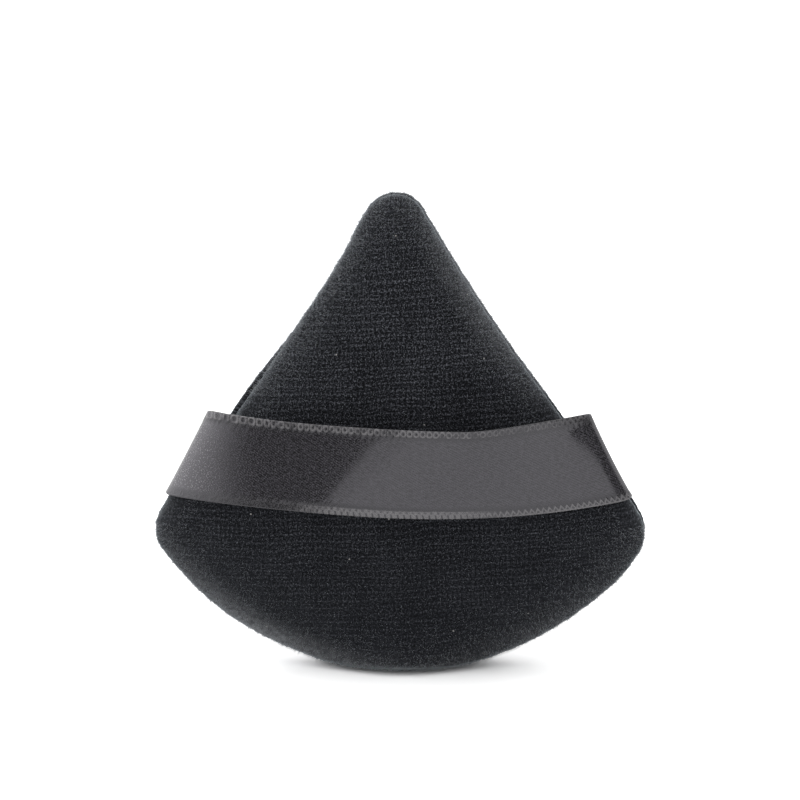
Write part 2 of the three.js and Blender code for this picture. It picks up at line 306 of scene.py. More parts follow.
@dataclass(frozen=True)
class VelourFinish:
    """Black short-pile knitted velour with some lint, with painted rim light along the seam and on the
    longer fibres.

    The pile is a sum of noises and of waves for the courses and wales. Grids are steps of noise to a
    millimetre, shares are weights in that sum and ranges are stretches of its value.
    """

    name: str = "black_velour"
    course: float = 1.13
    wale: float = 0.69
    gap_colour: Colour = (0.0012, 0.0013, 0.0017)
    pile_colour: Colour = (0.0090, 0.0099, 0.0128)
    tip_colour: Colour = (0.138, 0.1435, 0.164)
    # Pale colour of the painted rim light, along the seam and on the longer spikes.
    rim_light_colour: Colour = (0.300, 0.306, 0.320)
    lint_colour: Colour = (0.40, 0.39, 0.38)
    sheen: float = 1.0
    sheen_roughness: float = 0.34
    sheen_tint: Colour = (0.84, 0.92, 0.98)
    specular: float = 0.12
    fibre_grid: Triple = (5.4, 4.5, 0.0)
    tuft_grid: Triple = (2.6, 2.6, 0.0)
    patch_grid: float = 0.16
    course_shares: Pair = (0.45, 0.55)
    tuft_share: float = 0.34
    row_share: float = 0.06
    wale_share: float = 0.022
    patch_share: float = 0.10
    middle: float = 0.727
    # Painted shade: heights over which the pile's contrast rises from its lower to its full value.
    lit_contrast_heights: Pair = (4.0, 52.0)
    lit_contrasts: Pair = (0.52, 1.0)
    pile_range: Pair = (0.55, 0.75)
    tip_range: Pair = (0.69, 1.05)
    rough_range: Pair = (0.5, 1.0)
    roughness: Pair = (0.98, 0.82)
    lint_grid: float = 0.105
    lint_radii: Pair = (0.008, 0.015)
    lint_chance: float = 0.55
    bump: Pair = (0.12, 0.7)

    def material(self) -> Material:
        """Make the velour.

        Returns:
            The material. It reads the attribute "lay": across and up the cloth, and how much pale colour
            is mixed in as painted rim light, along the seam and on the longer spikes.
        """
        shader = Shader(self.name)
        lay = shader.lay("lay")
        across, up, rim_light_share = shader.parts(lay)
        fibres = shader.noise(shader.stretched(lay, self.fibre_grid), 1.0, 2.0)
        tufts = shader.noise(shader.stretched(lay, self.tuft_grid), 1.0, 1.0)
        patches = shader.noise(lay, self.patch_grid, 2.0)
        turn = shader.maths("MULTIPLY", up, 2.0 * math.pi / self.course)
        broad = shader.maths("MULTIPLY", shader.maths("COSINE", turn), self.course_shares[0])
        narrow = shader.maths("COSINE", shader.maths("MULTIPLY", turn, 2.0))
        courses = shader.maths("MULTIPLY_ADD", narrow, self.course_shares[1], broad)
        wales = shader.maths("COSINE", shader.maths("MULTIPLY", across, 2.0 * math.pi / self.wale))

        grain = shader.maths("MULTIPLY_ADD", tufts, self.tuft_share, fibres)
        rows = shader.maths("MULTIPLY_ADD", courses, self.row_share, grain)
        lines = shader.maths("MULTIPLY_ADD", wales, self.wale_share, rows)
        whole = shader.maths("MULTIPLY_ADD", patches, self.patch_share, lines)
        # Painted shade: the pile's contrast in colour and bump fades towards the bottom, which gets less
        # light from above.
        lit_contrast = shader.ranged(up, self.lit_contrast_heights, self.lit_contrasts)
        uneven = shader.maths("SUBTRACT", whole, self.middle)
        pile = shader.maths("MULTIPLY_ADD", uneven, lit_contrast, self.middle)
        body = shader.blend(shader.ranged(pile, self.pile_range), self.gap_colour, self.pile_colour)
        lit = shader.blend(shader.ranged(pile, self.tip_range), body, self.tip_colour)

        specks = {"Vector": lay, "Scale": self.lint_grid, "Randomness": 1.0}
        near = shader.add("TexVoronoi", specks, "Distance", voronoi_dimensions="2D")
        chance = shader.add("TexVoronoi", specks, "Color", voronoi_dimensions="2D")
        spot = shader.ranged(near, self.lint_radii, (1.0, 0.0))
        chosen = shader.maths("GREATER_THAN", chance, self.lint_chance)
        lint = shader.maths("MULTIPLY", spot, chosen)
        cloth = shader.blend(lint, lit, self.lint_colour)
        # The pale colour mixed in by the third number of "lay" is painted rim light.
        shader.feed(shader.surface, {
            "Base Color": shader.blend(rim_light_share, cloth, self.rim_light_colour),
            "Roughness": shader.ranged(pile, self.rough_range, self.roughness),
            "Specular IOR Level": self.specular,
            "Sheen Weight": self.sheen,
            "Sheen Roughness": self.sheen_roughness,
            "Sheen Tint": (*self.sheen_tint, 1.0),
        })
        shader.relief(pile, *self.bump)
        return shader.material


@dataclass(frozen=True)
class SatinFinish:
    """Charcoal satin ribbon: fine slanting floats, duller dents between them and paler corded edges.

    Grids are steps of noise to a millimetre, shares are weights in the sum that makes the cloth and
    ranges are stretches of a value. Glints are painted into the colour at the left turn, by the way along
    the ribbon.
    """

    name: str = "charcoal_satin"
    body_colour: Colour = (0.0380, 0.0360, 0.0425)
    dent_colour: Colour = (0.0014, 0.0013, 0.0016)
    cord_colour: Colour = (0.128, 0.124, 0.127)
    # Colour of the glints painted at the left turn.
    glint_colour: Colour = (0.300, 0.290, 0.300)
    gap_colour: Colour = (0.006, 0.006, 0.007)
    specular: float = 1.0
    bending: float = 1.57
    specular_tint: Colour = (0.96, 0.94, 1.0)
    float_pitch: float = 0.36
    float_slope: float = 0.55
    float_range: Pair = (-1.0, 0.9)
    float_share: float = 0.34
    thread_grid: Triple = (1.3, 3.4, 0.0)
    grain_grid: Triple = (2.9, 3.3, 0.0)
    grain_share: float = 0.47
    knot_grid: Triple = (4.6, 4.8, 0.0)
    face_range: Pair = (0.77, 1.04)
    glint_turn: Pair = (-31.0, -24.0)
    glint_range: Pair = (0.62, 0.74)
    shine_range: Pair = (0.45, 0.66)
    roughness: Pair = (0.07, 0.34)
    band_range: Pair = (-1.0, 0.0)
    band_roughness: float = 0.14
    strand_range: Pair = (0.1, 0.8)
    bump: Pair = (0.0015, 0.5)

    def material(self) -> Material:
        """Make the satin.

        Returns:
            The material. It reads the attribute "weave": along, across and the share of corded edge.
        """
        shader = Shader(self.name)
        weave = shader.lay("weave")
        along, across, cord = shader.parts(weave)

        slant = shader.maths("MULTIPLY_ADD", along, self.float_slope, across)
        turns = shader.maths("MULTIPLY", slant, 2.0 * math.pi / self.float_pitch)
        floats = shader.ranged(shader.maths("SINE", turns), self.float_range)
        threads = shader.noise(shader.stretched(weave, self.thread_grid), 1.0, 2.0)
        lines = shader.maths("MULTIPLY_ADD", floats, self.float_share, threads)
        grain = shader.noise(shader.stretched(weave, self.grain_grid), 1.0, 1.0)
        cloth = shader.maths("MULTIPLY_ADD", grain, self.grain_share, lines)
        knots = shader.noise(shader.stretched(weave, self.knot_grid), 1.0, 1.0)
        face = shader.blend(shader.ranged(cloth, self.face_range), self.dent_colour, self.body_colour)
        # Painted glints: bright specks in the colour at the left turn, by the way along the ribbon.
        turned = shader.ranged(along, self.glint_turn, (1.0, 0.0))
        painted_glints = shader.maths("MULTIPLY", shader.ranged(knots, self.glint_range), turned)
        sparkling = shader.blend(painted_glints, face, self.glint_colour)
        shine = shader.ranged(knots, self.shine_range, self.roughness)
        band = shader.ranged(cord, self.band_range)
        raised = shader.ranged(cord, self.strand_range)
        strand = shader.blend(raised, self.gap_colour, self.cord_colour)
        shader.feed(shader.surface, {
            "Base Color": shader.blend(band, sparkling, strand),
            "Roughness": shader.maths("MULTIPLY_ADD", band, self.band_roughness, shine),
            "Specular IOR Level": self.specular,
            "IOR": self.bending,
            "Specular Tint": (*self.specular_tint, 1.0),
        })
        shader.relief(cloth, *self.bump)
        return shader.material


@dataclass(frozen=True)
class SpongeFinish:
    """Soft cream sponge with open cells, so many to a metre."""

    name: str = "cream_sponge"
    skin_colour: Colour = (0.70, 0.66, 0.57)
    cell_colour: Colour = (0.42, 0.38, 0.31)
    cells: float = 1400.0
    cell_range: Pair = (0.15, 0.6)
    rough_range: Pair = (0.1, 0.6)
    roughness: Pair = (0.98, 0.86)
    bump: Pair = (0.3, 0.6)

    def material(self) -> Material:
        """Make the sponge, whose cells are laid out on Object coordinates."""
        shader = Shader(self.name)
        place = shader.add("TexCoord", {}, "Object")
        near = shader.add("TexVoronoi", {"Vector": place, "Scale": self.cells}, "Distance")
        cells = shader.ranged(near, self.cell_range)
        shader.feed(shader.surface, {
            "Base Color": shader.blend(cells, self.cell_colour, self.skin_colour),
            "Roughness": shader.ranged(near, self.rough_range, self.roughness),
        })
        shader.relief(cells, *self.bump)
        return shader.material


@dataclass(frozen=True)
class ThreadFinish:
    """Black spun sewing thread, with so many plies to a metre."""

    name: str = "black_thread"
    groove_colour: Colour = (0.006, 0.006, 0.007)
    ply_colour: Colour = (0.022, 0.022, 0.025)
    plies: float = 900.0
    twist: float = 1.5
    roughness: Pair = (0.75, 0.5)
    bump: Pair = (0.05, 0.5)

    def material(self) -> Material:
        """Make the thread, whose plies are laid out on Object coordinates."""
        shader = Shader(self.name)
        place = shader.add("TexCoord", {}, "Object")
        waves = {"Vector": place, "Scale": self.plies, "Distortion": self.twist, "Detail": 2.0}
        plies = shader.add("TexWave", waves, "Fac", bands_direction="DIAGONAL")
        shader.feed(shader.surface, {
            "Base Color": shader.blend(plies, self.groove_colour, self.ply_colour),
            "Roughness": shader.ranged(plies, (0.0, 1.0), self.roughness),
        })
        shader.relief(plies, *self.bump)
        return shader.material


@dataclass(frozen=True)
class PuffSizes:
    """Sizes that the pieces of the puff share, in millimetres, the same as the part's own."""

    width: float = 70.0
    height: float = 69.0
    apex_radius: float = 4.3
    corner_radius: float = 4.7
    corner_height: float = 19.6
    side_draw_in: float = 1.1
    thickness: float = 15.0
    crown_height: float = 30.0
    crown_power: float = 0.4
    foot_press: float = 0.8
    fabric: float = 1.0
    rim_wall: float = 1.8
    allowance: float = 7.0
    seam_gap: float = 0.3
    stitch_inset: float = 3.2
    thread: float = 0.3
    clearance: float = 0.3

    @property
    def half_gap(self) -> float:
        """Distance from the middle of the seam to one panel."""
        return self.seam_gap / 2.0

    @property
    def crown(self) -> float:
        """Height of one panel's crown over its own rim."""
        return self.thickness / 2.0 - self.half_gap

    @property
    def centre(self) -> Array:
        """Middle of the crown in X and Z."""
        return np.array((0.0, self.crown_height))


@dataclass
class SeamOutline:
    """Sewn outline of the puff in X and Z, clockwise from the apex and back to it.

    Where the cover is fuller it is pushed out, by the hand, the height, the spread and the push of each
    place in turn. The push passes from one hand to the other over the way given by hand_ease.
    """

    sizes: PuffSizes
    arc_steps: int = 240
    fuller: tuple[tuple[int, float, float, float], ...] = (
        (-1, 39.5, 8.0, 0.85), (-1, 26.0, 3.4, 0.85), (-1, 65.0, 3.0, 0.40), (-1, 5.0, 7.0, 0.42),
        (1, 25.4, 3.4, 0.95), (1, 39.0, 5.0, 0.25), (1, 13.5, 3.5, 0.45),
    )
    hand_ease: float = 4.0
    side: Array = field(init=False)
    side_radius: float = field(init=False)
    points: Array = field(init=False)
    shares: Array = field(init=False)

    def __post_init__(self) -> None:
        """Work out the tangent arcs round the apex, the drawn-in sides, the corners and the hem."""
        s = self.sizes
        corner_x = s.width / 2.0 - s.corner_radius
        rise = s.corner_height + s.foot_press
        hem_radius = (corner_x**2 + rise**2 - s.corner_radius**2) / (2.0 * (rise - s.corner_radius))
        apex = np.array((0.0, s.height - s.apex_radius))
        corner = np.array((corner_x, s.corner_height))
        hem = np.array((0.0, hem_radius - s.foot_press))

        down = corner - apex
        span = float(np.hypot(*down))
        unit = down / span
        self.side_radius = (span**2 / 4.0 + s.side_draw_in**2) / (2.0 * s.side_draw_in)
        from_apex = self.side_radius + s.apex_radius
        from_corner = self.side_radius + s.corner_radius
        along = (span**2 + from_apex**2 - from_corner**2) / (2.0 * span)
        away = math.sqrt(from_apex**2 - along**2)
        self.side = apex + unit * along + np.array((-unit[1], unit[0])) * away

        from_side = self.heading(self.side, apex), self.heading(self.side, corner)
        to_hem = self.heading(hem, corner)
        right = np.concatenate((
            self.arc(apex, s.apex_radius, math.pi / 2.0, self.heading(apex, self.side)),
            self.arc(self.side, self.side_radius, *from_side),
            self.arc(corner, s.corner_radius, self.heading(corner, self.side), to_hem),
            self.arc(hem, hem_radius, to_hem, -math.pi / 2.0),
        ))
        top = np.array(((0.0, s.height),))
        left = right[-2::-1] * np.array((-1.0, 1.0))
        self.points = np.concatenate((top, right, left, top))
        steps = np.hypot(*np.diff(self.points, axis=0).T)
        self.shares = np.concatenate(((0.0,), np.cumsum(steps) / float(steps.sum())))

    @staticmethod
    def heading(start: Array, end: Array) -> float:
        """Angle of the way from one point to another."""
        return math.atan2(end[1] - start[1], end[0] - start[0])

    def arc(self, centre: Array, radius: float, start: float, end: float) -> Array:
        """Points of an arc after its first, evenly between two angles.

        Args:
            centre: Middle of the arc.
            radius: Its radius.
            start: Angle that it starts from.
            end: Angle that it ends on.

        Returns:
            Points in X and Z.
        """
        angles = np.linspace(start, end, self.arc_steps + 1)[1:]
        return centre + radius * np.stack((np.cos(angles), np.sin(angles)), axis=-1)

    def at(self, share: Array) -> Array:
        """Points at shares of the outline's length from the apex, pushed out by bell curves of height.

        Args:
            share: Shares of the outline's length, from 0 to 1 and round again.

        Returns:
            Points in X and Z.
        """
        x = np.interp(share % 1.0, self.shares, self.points[:, 0])
        z = np.interp(share % 1.0, self.shares, self.points[:, 1])
        pushed = sum(
            hand * push * np.exp(-(((z - height) / spread) ** 2))
            * smooth(0.5 + hand * x / self.hand_ease)
            for hand, height, spread, push in self.fuller
        )
        return np.stack((x + pushed, z), axis=-1)


@dataclass
class Crown:
    """Crowned form of the puff over its seam outline, for both panels and the sponge.

    A point is given by its way out, from 0 in the middle to 1 at the rim and even along the cloth, and
    by its turn, the share of the seam's length from the apex.
    """

    sizes: PuffSizes
    outline: SeamOutline
    usual_reach: float = 35.0
    way_steps: int = 2000
    foot_ease: float = 0.22
    ways: Array = field(init=False)
    angles: Array = field(init=False)

    def __post_init__(self) -> None:
        """Measure the crown's section, so that steps of the way out are even along the cloth."""
        angles = np.linspace(0.0, math.pi / 2.0, self.way_steps)
        out = self.usual_reach * np.sin(angles)
        depth = self.sizes.crown * np.cos(angles).clip(0.0) ** (2.0 * self.sizes.crown_power)
        steps = np.hypot(np.diff(out), np.diff(depth))
        self.angles = angles
        self.ways = np.concatenate(((0.0,), np.cumsum(steps)))

    def section(self, way: Array) -> tuple[Array, Array, Array]:
        """Section of the crown: depth is its height times (1 less share squared) to the crown's power.

        Args:
            way: Way out, from 0 to 1.

        Returns:
            Share of the way to the rim as seen from the front, share of the full depth, and how much
            longer the cloth is so far than it looks from the front, in millimetres.
        """
        walked = way * self.ways[-1]
        angle = np.interp(walked, self.ways, self.angles)
        share = np.sin(angle)
        depth = np.cos(angle).clip(0.0) ** (2.0 * self.sizes.crown_power)
        return share, depth, walked - self.usual_reach * share

    def inset(self, turn: Array, inset: float) -> Array:
        """Way from the middle of the crown to the seam outline, shortened by an inset.

        Args:
            turn: Share of the seam's length from the apex.
            inset: How much shorter, in millimetres.

        Returns:
            Steps in X and Z, one to each turn.
        """
        out = self.outline.at(turn) - self.sizes.centre
        reach = np.hypot(out[..., 0], out[..., 1])[..., None]
        return out * (1.0 - inset / reach)

    def foot(self, z: Array) -> Array:
        """Heights pressed to the floor: half the sum of z and the root of z squared plus ease squared."""
        return 0.5 * (z + np.sqrt(z * z + self.foot_ease * self.foot_ease))


def square_map(cells: int) -> tuple[Array, Array]:
    """Even quads over a disc: each square ring of a grid becomes a ring of the disc.

    Args:
        cells: Count of cells along a side of the grid.

    Returns:
        Way out and turn of each point, columns to the right by rows going up.
    """
    line = np.linspace(-1.0, 1.0, cells + 1)
    a, b = np.meshgrid(line, line, indexing="ij")
    way = np.maximum(np.abs(a), np.abs(b))
    sideways = np.abs(a) > np.abs(b)
    safe_a = np.where(sideways, a, 1.0)
    safe_b = np.where(sideways | (b == 0.0), 1.0, b)
    turn = np.where(
        sideways,
        np.where(a > 0.0, 0.25, 0.75) - b / safe_a / 8.0,
        np.where(b >= 0.0, 0.0, 0.5) + a / safe_b / 8.0,
    )
    return way, turn % 1.0


def square_rim(cells: int) -> Array:
    """Numbers of the grid's outer points, clockwise from its upper left corner."""
    numbers = np.arange((cells + 1) ** 2).reshape(cells + 1, cells + 1)
    return np.concatenate((numbers[:-1, -1], numbers[-1, :0:-1], numbers[:0:-1, 0], numbers[0, :-1]))


@dataclass
class Swelling:
    """Cloth simulation of the stuffed cover: a coarse shell, pinned at its seam, is blown up a little.

    It runs ten times enlarged, because cloth springs are tuned for larger things.
    """

    crown: Crown
    columns: int = 96
    rings: int = 22
    enlarge: float = 10.0
    start_share: float = 0.965
    pressure: float = 4.0
    last_frame: int = 20
    quality: int = 6
    stiffness: float = 20.0
    bending: float = 0.8
    most: float = 0.6
    evenings: int = 12
    waves: int = 9

    def shell(self) -> Array:
        """The shell before it is blown up.

        Returns:
            Its points by side, ring and column, with the pole repeated.
        """
        turn = np.arange(self.columns) / self.columns
        share, depth, _ = self.crown.section(np.linspace(0.0, 1.0, self.rings + 1))
        out = self.crown.inset(turn, 0.0)
        plan = self.crown.sizes.centre + share[:, None, None] * out[None]
        deep = (self.crown.sizes.crown * self.start_share * depth)[:, None]
        half = upright(plan, np.broadcast_to(deep, plan.shape[:2]))
        return np.stack((half * np.array((1.0, -1.0, 1.0)), half))

    def run(self) -> Array:
        """Blow up the shell.

        Returns:
            How far each point moved in millimetres, by side, ring and column.
        """
        points = self.shell()
        moved = np.zeros_like(points)
        body, pinned = self.sewn(points)
        cloth = body.modifiers.new("cloth", "CLOTH")
        settings = cloth.settings
        settings.quality = self.quality
        settings.use_pressure = True
        settings.uniform_pressure_force = self.pressure
        settings.tension_stiffness = settings.compression_stiffness = self.stiffness
        settings.bending_stiffness = self.bending
        settings.effector_weights.gravity = 0.0
        settings.vertex_group_mass = pinned
        scene = bpy.context.scene
        for frame_number in range(1, self.last_frame + 1):
            scene.frame_set(frame_number)
        shown = body.evaluated_get(bpy.context.evaluated_depsgraph_get())
        after = np.empty(len(shown.data.vertices) * 3, np.float32)
        shown.data.vertices.foreach_get("co", after)
        after = after.reshape(-1, 3) / (MM * self.enlarge)
        scene.frame_set(1)
        bpy.data.objects.remove(body)

        front, back = self.numbers()
        moved[0], moved[1] = after[front] - points[0], after[back] - points[1]
        LOG.info("simulated swelling: mean %.2f mm", float(np.linalg.norm(moved, axis=-1).mean()))
        far = np.linalg.norm(moved, axis=-1, keepdims=True)
        return self.evened(moved * np.minimum(1.0, self.most / np.maximum(far, TINY)))

    def evened(self, moved: Array) -> Array:
        """Movement with its creases evened out by half of the neighbours' mean, several times.

        Args:
            moved: Movement by side, ring and column.

        Returns:
            Evened movement, with the seam left in place.
        """
        for _ in range(self.evenings):
            around = np.roll(moved, 1, axis=2) + np.roll(moved, -1, axis=2)
            inner = np.concatenate((moved[:, :1], moved[:, :-1]), axis=1)
            outer = np.concatenate((moved[:, 1:], moved[:, -1:]), axis=1)
            moved = 0.5 * moved + 0.125 * (around + inner + outer)
            moved[:, 0] = moved[:, 0].mean(axis=1, keepdims=True)
            moved[:, -1] = 0.0
        return moved

    def numbers(self) -> tuple[Array, Array]:
        """Point numbers of the sewn shell by ring and column, for the front and for the back."""
        inner = self.columns * (self.rings - 1)
        rim = np.arange(self.columns)
        front = self.columns + np.arange(inner).reshape(self.rings - 1, self.columns)
        back = front + inner
        poles = self.columns + 2 * inner
        sides = [np.concatenate((np.full((1, self.columns), poles + k), side, rim[None]))
                 for k, side in enumerate((front, back))]
        return sides[0], sides[1]

    def sewn(self, points: Array) -> tuple[Piece, str]:
        """The shell as one closed mesh with its seam pinned.

        Args:
            points: Points by side, ring and column.

        Returns:
            The object and the name of the group that holds its seam.
        """
        front, back = self.numbers()
        flat = np.concatenate((
            points[0, -1], points[0, 1:-1].reshape(-1, 3), points[1, 1:-1].reshape(-1, 3),
            points[0, :1, 0], points[1, :1, 0],
        ))
        quads = [ring_quads(front[k], front[k + 1]) for k in range(1, self.rings)]
        quads += [ring_quads(back[k + 1], back[k]) for k in range(1, self.rings)]
        triangles = np.concatenate((fan(front[1], front[0, 0])[:, ::-1], fan(back[1], back[0, 0])))
        body = make_piece("swelling", flat * self.enlarge, np.concatenate(quads), triangles)
        group = body.vertex_groups.new(name="seam")
        group.add([int(number) for number in front[-1]], 1.0, "REPLACE")
        return body, group.name

    def sample(self, moved: Array, way: Array, turn: Array) -> Array:
        """Movement at any place of one panel: evenly between its rings, and round one by a sum of waves.

        Args:
            moved: Movement of one panel's points by ring and column.
            way: Way out of each place.
            turn: Turn of each place.

        Returns:
            Movement in millimetres, three numbers to a place.
        """
        shares = np.fft.rfft(moved, axis=1)[:, : self.waves] / self.columns
        shares[:, 1:] *= 2.0
        ring = way * self.rings
        low = np.minimum(ring.astype(int), self.rings - 1)
        up = (ring - low)[..., None, None]
        here = shares[low] * (1.0 - up) + shares[low + 1] * up
        swing = np.exp(2j * math.pi * turn[..., None] * np.arange(self.waves))
        return (here * swing[..., None]).sum(axis=-2).real


@dataclass
class VelourPanel:
    """One velour panel: crowned skin, pile, the turn at the seam, and the allowance and lining inside.

    A change over a stretch of the way out is held as where it starts and how long it takes.
    """

    crown: Crown
    swelling: Swelling
    moved: Array
    side: Side
    finish: VelourFinish
    cells: int = 218
    groove_depth: float = 0.42
    groove_width: float = 0.34
    ribbon_room: float = 0.14
    room_turn: float = 0.287
    room_half: float = 0.036
    room_ease: float = 0.25
    lip_gap: float = 0.008
    lip_insets: Triple = (1.2, 1.9, 2.4)
    pucker: float = 0.022
    pucker_counts: tuple[int, int, int] = (38, 84, 3)
    pucker_reach: float = 3.6
    pucker_fade: float = 0.6
    slack: float = 0.55
    back_slack: float = -0.25
    slack_way: float = 0.75
    slack_turns: tuple[float, float, float, float] = (0.755, 0.785, 0.83, 0.88)
    clump: float = 0.03
    clump_steps: Pair = (0.9, 0.8)
    clump_start: float = 300.0
    course_relief: float = 0.010
    slope: float = 0.05
    sway: float = 0.30
    sway_steps: tuple[Pair, Pair] = ((4.0, 4.0), (6.0, 3.5))
    sway_start: float = 60.0
    back_shift: float = 190.0
    fuzz: float = 0.035
    fuzz_fade: float = 0.9
    sag_foot: float = 4.4
    sag_bulge: float = 3.8
    sag_rise: float = 0.85
    sag_height: float = 6.5
    sag_half: float = 10.5
    sag_fade: float = 0.3
    lining_rings: int = 5
    fibre_count: int = 21500
    fibre_length: Pair = (0.28, 0.80)
    fibre_radius: float = 0.026
    fibre_lean: float = 0.40
    fibre_root: float = 0.08
    crowding: Pair = (0.30, 2.4)
    crowding_way: Pair = (0.62, 0.3)
    # Painted rim light on the spikes: least and added share, and the way over which it rises.
    fibre_light: Pair = (0.15, 0.85)
    fibre_light_way: Pair = (0.72, 0.24)
    # Painted rim light along the seam: a level all round, the way where it starts, bell curves of the
    # turn as middle, half width and level, and smooth noise that makes it patchy.
    rim_light: float = 0.03
    rim_light_way: float = 0.80
    rim_light_turns: tuple[Triple, ...] = ((0.59, 0.07, 0.62), (0.09, 0.06, 0.18), (0.40, 0.05, 0.12))
    rim_light_noise: float = 0.7
    rim_light_step: float = 0.35
    rim_light_start: float = 900.0
    bare_heights: Pair = (21.0, 39.5)
    bare_way: float = 0.86

    def half_gap(self, turn: Array) -> Array:
        """Half of the seam's gap, which opens a little where the ribbon's tails go in.

        Args:
            turn: Turn of each place.

        Returns:
            Half gaps in millimetres.
        """
        left_turn = 1.0 - self.room_turn
        nearest = np.minimum(np.abs(turn - self.room_turn), np.abs(turn - left_turn))
        opened = smooth((self.room_half - nearest) / (self.room_ease * self.room_half))
        return self.crown.sizes.half_gap + self.ribbon_room * opened

    def skin(self, way: Array, turn: Array) -> Array:
        """Skin without its pile: the crown, drawn in by a groove that fades away from the seam.

        Along the upper left side the front is drawn in further than the back, which shows the seam.
        Over the floor it sags outwards to a depth that rises from its foot by an easing exponential of
        the height, and this fades by bell curves of the height and of the way to either side.

        Args:
            way: Way out of each place.
            turn: Turn of each place.

        Returns:
            Points in millimetres.
        """
        sizes = self.crown.sizes
        share, depth, _ = self.crown.section(way)
        out = self.crown.inset(turn, 0.0)
        reach = np.hypot(out[..., 0], out[..., 1])
        deep = sizes.crown * self.swelling.start_share * depth
        groove = self.groove_depth * np.exp(-deep / self.groove_width)
        before, start, end, after = self.slack_turns
        slack = smooth((turn - before) / (start - before)) * smooth((after - turn) / (after - end))
        held = 1.0 if self.side is Side.FRONT else self.back_slack
        near_rim = smooth((way - self.slack_way) / (1.0 - self.slack_way))
        drawn = self.slack * held * slack * near_rim
        plan = sizes.centre + out * (share - (groove + drawn) / reach)[..., None]
        above = np.maximum(plan[..., 1], 0.0)
        low = np.exp(-((above / self.sag_height) ** 2) - (plan[..., 0] / self.sag_half) ** 2)
        sagged = self.sag_foot + self.sag_bulge * (1.0 - np.exp(-above / self.sag_rise))
        deep = deep + np.maximum(sagged - deep, 0.0) * low * smooth(depth / self.sag_fade)
        points = upright(plan, self.side.value * (self.half_gap(turn) + deep))
        return points + self.swelling.sample(self.moved, way, turn)

    def lay(self, way: Array, turn: Array) -> Array:
        """Place of each point on the flat panel: out from the middle as far as the cloth is long.

        The courses slope a little and sway, by smooth noise that moves each place.

        Args:
            way: Way out of each place.
            turn: Turn of each place.

        Returns:
            Places in millimetres across and up the cloth, and the share of painted rim light near the
            seam, most at the lower left and some at the upper and lower right.
        """
        share, _, spare = self.crown.section(way)
        out = self.crown.inset(turn, 0.0)
        reach = np.hypot(out[..., 0], out[..., 1])
        flat = self.crown.sizes.centre + out * (share + spare / reach)[..., None]
        u = flat[..., 0] + (0.0 if self.side is Side.FRONT else self.back_shift)
        v = flat[..., 1]
        (wide, tall), (row_wide, row_tall) = self.sway_steps
        start = self.sway_start
        across = u + self.sway * lattice_noise(u / wide + start, v / tall + start, 51)
        swayed = self.sway * lattice_noise(u / row_wide + start, v / row_tall + start, 52)
        up = v - self.slope * flat[..., 0] + swayed
        # Painted rim light: a pale share along the seam, in place of light that grazes the pile there.
        patchy_share = self.rim_light + sum(
            level * np.exp(-(((turn - middle) / half) ** 2))
            for middle, half, level in self.rim_light_turns
        )
        step, start = self.rim_light_step, self.rim_light_start
        patchy_share = patchy_share * (1.0 + self.rim_light_noise * lattice_noise(u / step + start, v / step + start, 53))
        near_rim = smooth((way - self.rim_light_way) / (1.0 - self.rim_light_way))
        return np.stack((across, up, patchy_share * near_rim), axis=-1)

    def pile(self, way: Array, turn: Array, lay: Array) -> Array:
        """Height of the pile's relief: courses, clumps, uneven tips, and puckers near the seam.

        The puckers are a sum of waves round the seam, each with a whole count and its own start.

        Args:
            way: Way out of each place.
            turn: Turn of each place.
            lay: Place of each point on the flat panel.

        Returns:
            Heights in millimetres.
        """
        u, v = lay[..., 0] + self.clump_start, lay[..., 1] + self.clump_start
        seed = 11 if self.side is Side.FRONT else 23
        courses = self.course_relief * np.cos(2.0 * math.pi * lay[..., 1] / self.finish.course)
        wide, tall = self.clump_steps
        clumps = self.clump * lattice_noise(u / wide, v / tall, seed + 1)
        draws = np.random.default_rng(seed)
        counts = np.arange(*self.pucker_counts)
        phases = draws.uniform(0.0, 2.0 * math.pi, len(counts))
        waves = np.cos(2.0 * math.pi * turn[..., None] * counts + phases).sum(axis=-1)
        waves /= math.sqrt(len(counts) / 2.0)
        from_rim = (1.0 - way) * self.crown.ways[-1]
        puckers = self.pucker * waves * np.exp(-from_rim / self.pucker_reach)
        tips = self.fuzz * draws.standard_normal(way.shape)
        grain = (courses + clumps + tips) * smooth(from_rim / self.fuzz_fade)
        return grain + puckers * smooth(from_rim / self.pucker_fade)

    def fibres(
        self, skin: Array, normal: Array, lay: Array, way: Array
    ) -> tuple[Array, Array, Array]:
        """Longer fibres that stand out of the pile: slender spikes, at random over the cloth.

        They are as many to each cell of the skin as its area asks for, more towards the rim, and none
        where the ribbon's tails go in.

        Args:
            skin: Points of the skin by column and row.
            normal: Its outward directions.
            lay: Its places on the flat panel.
            way: Its ways out.

        Returns:
            Points, four to each spike with the tip last, triangles of these, and the place of each point
            on the panel with its share of painted rim light, which grows towards the rim.
        """
        draws = np.random.default_rng(31 if self.side is Side.FRONT else 37)
        across, up = np.gradient(skin, axis=0), np.gradient(skin, axis=1)
        thin, more = self.crowding
        start, run = self.crowding_way
        area = np.linalg.norm(np.cross(across, up), axis=-1)
        area = area * (thin + more * smooth((way - start) / run))
        low, high = self.bare_heights
        area[(way > self.bare_way) & (skin[..., 2] > low) & (skin[..., 2] < high)] = 0.0
        chances = area[:-1, :-1].ravel()
        chosen = draws.choice(len(chances), self.fibre_count, p=chances / chances.sum())
        column, row = np.divmod(chosen, self.cells)
        f, g = draws.random((2, self.fibre_count, 1))

        def at(values: Array) -> Array:
            """Values evenly between the four points of each chosen cell."""
            first = values[column, row] * (1.0 - g) + values[column, row + 1] * g
            second = values[column + 1, row] * (1.0 - g) + values[column + 1, row + 1] * g
            return first * (1.0 - f) + second * f

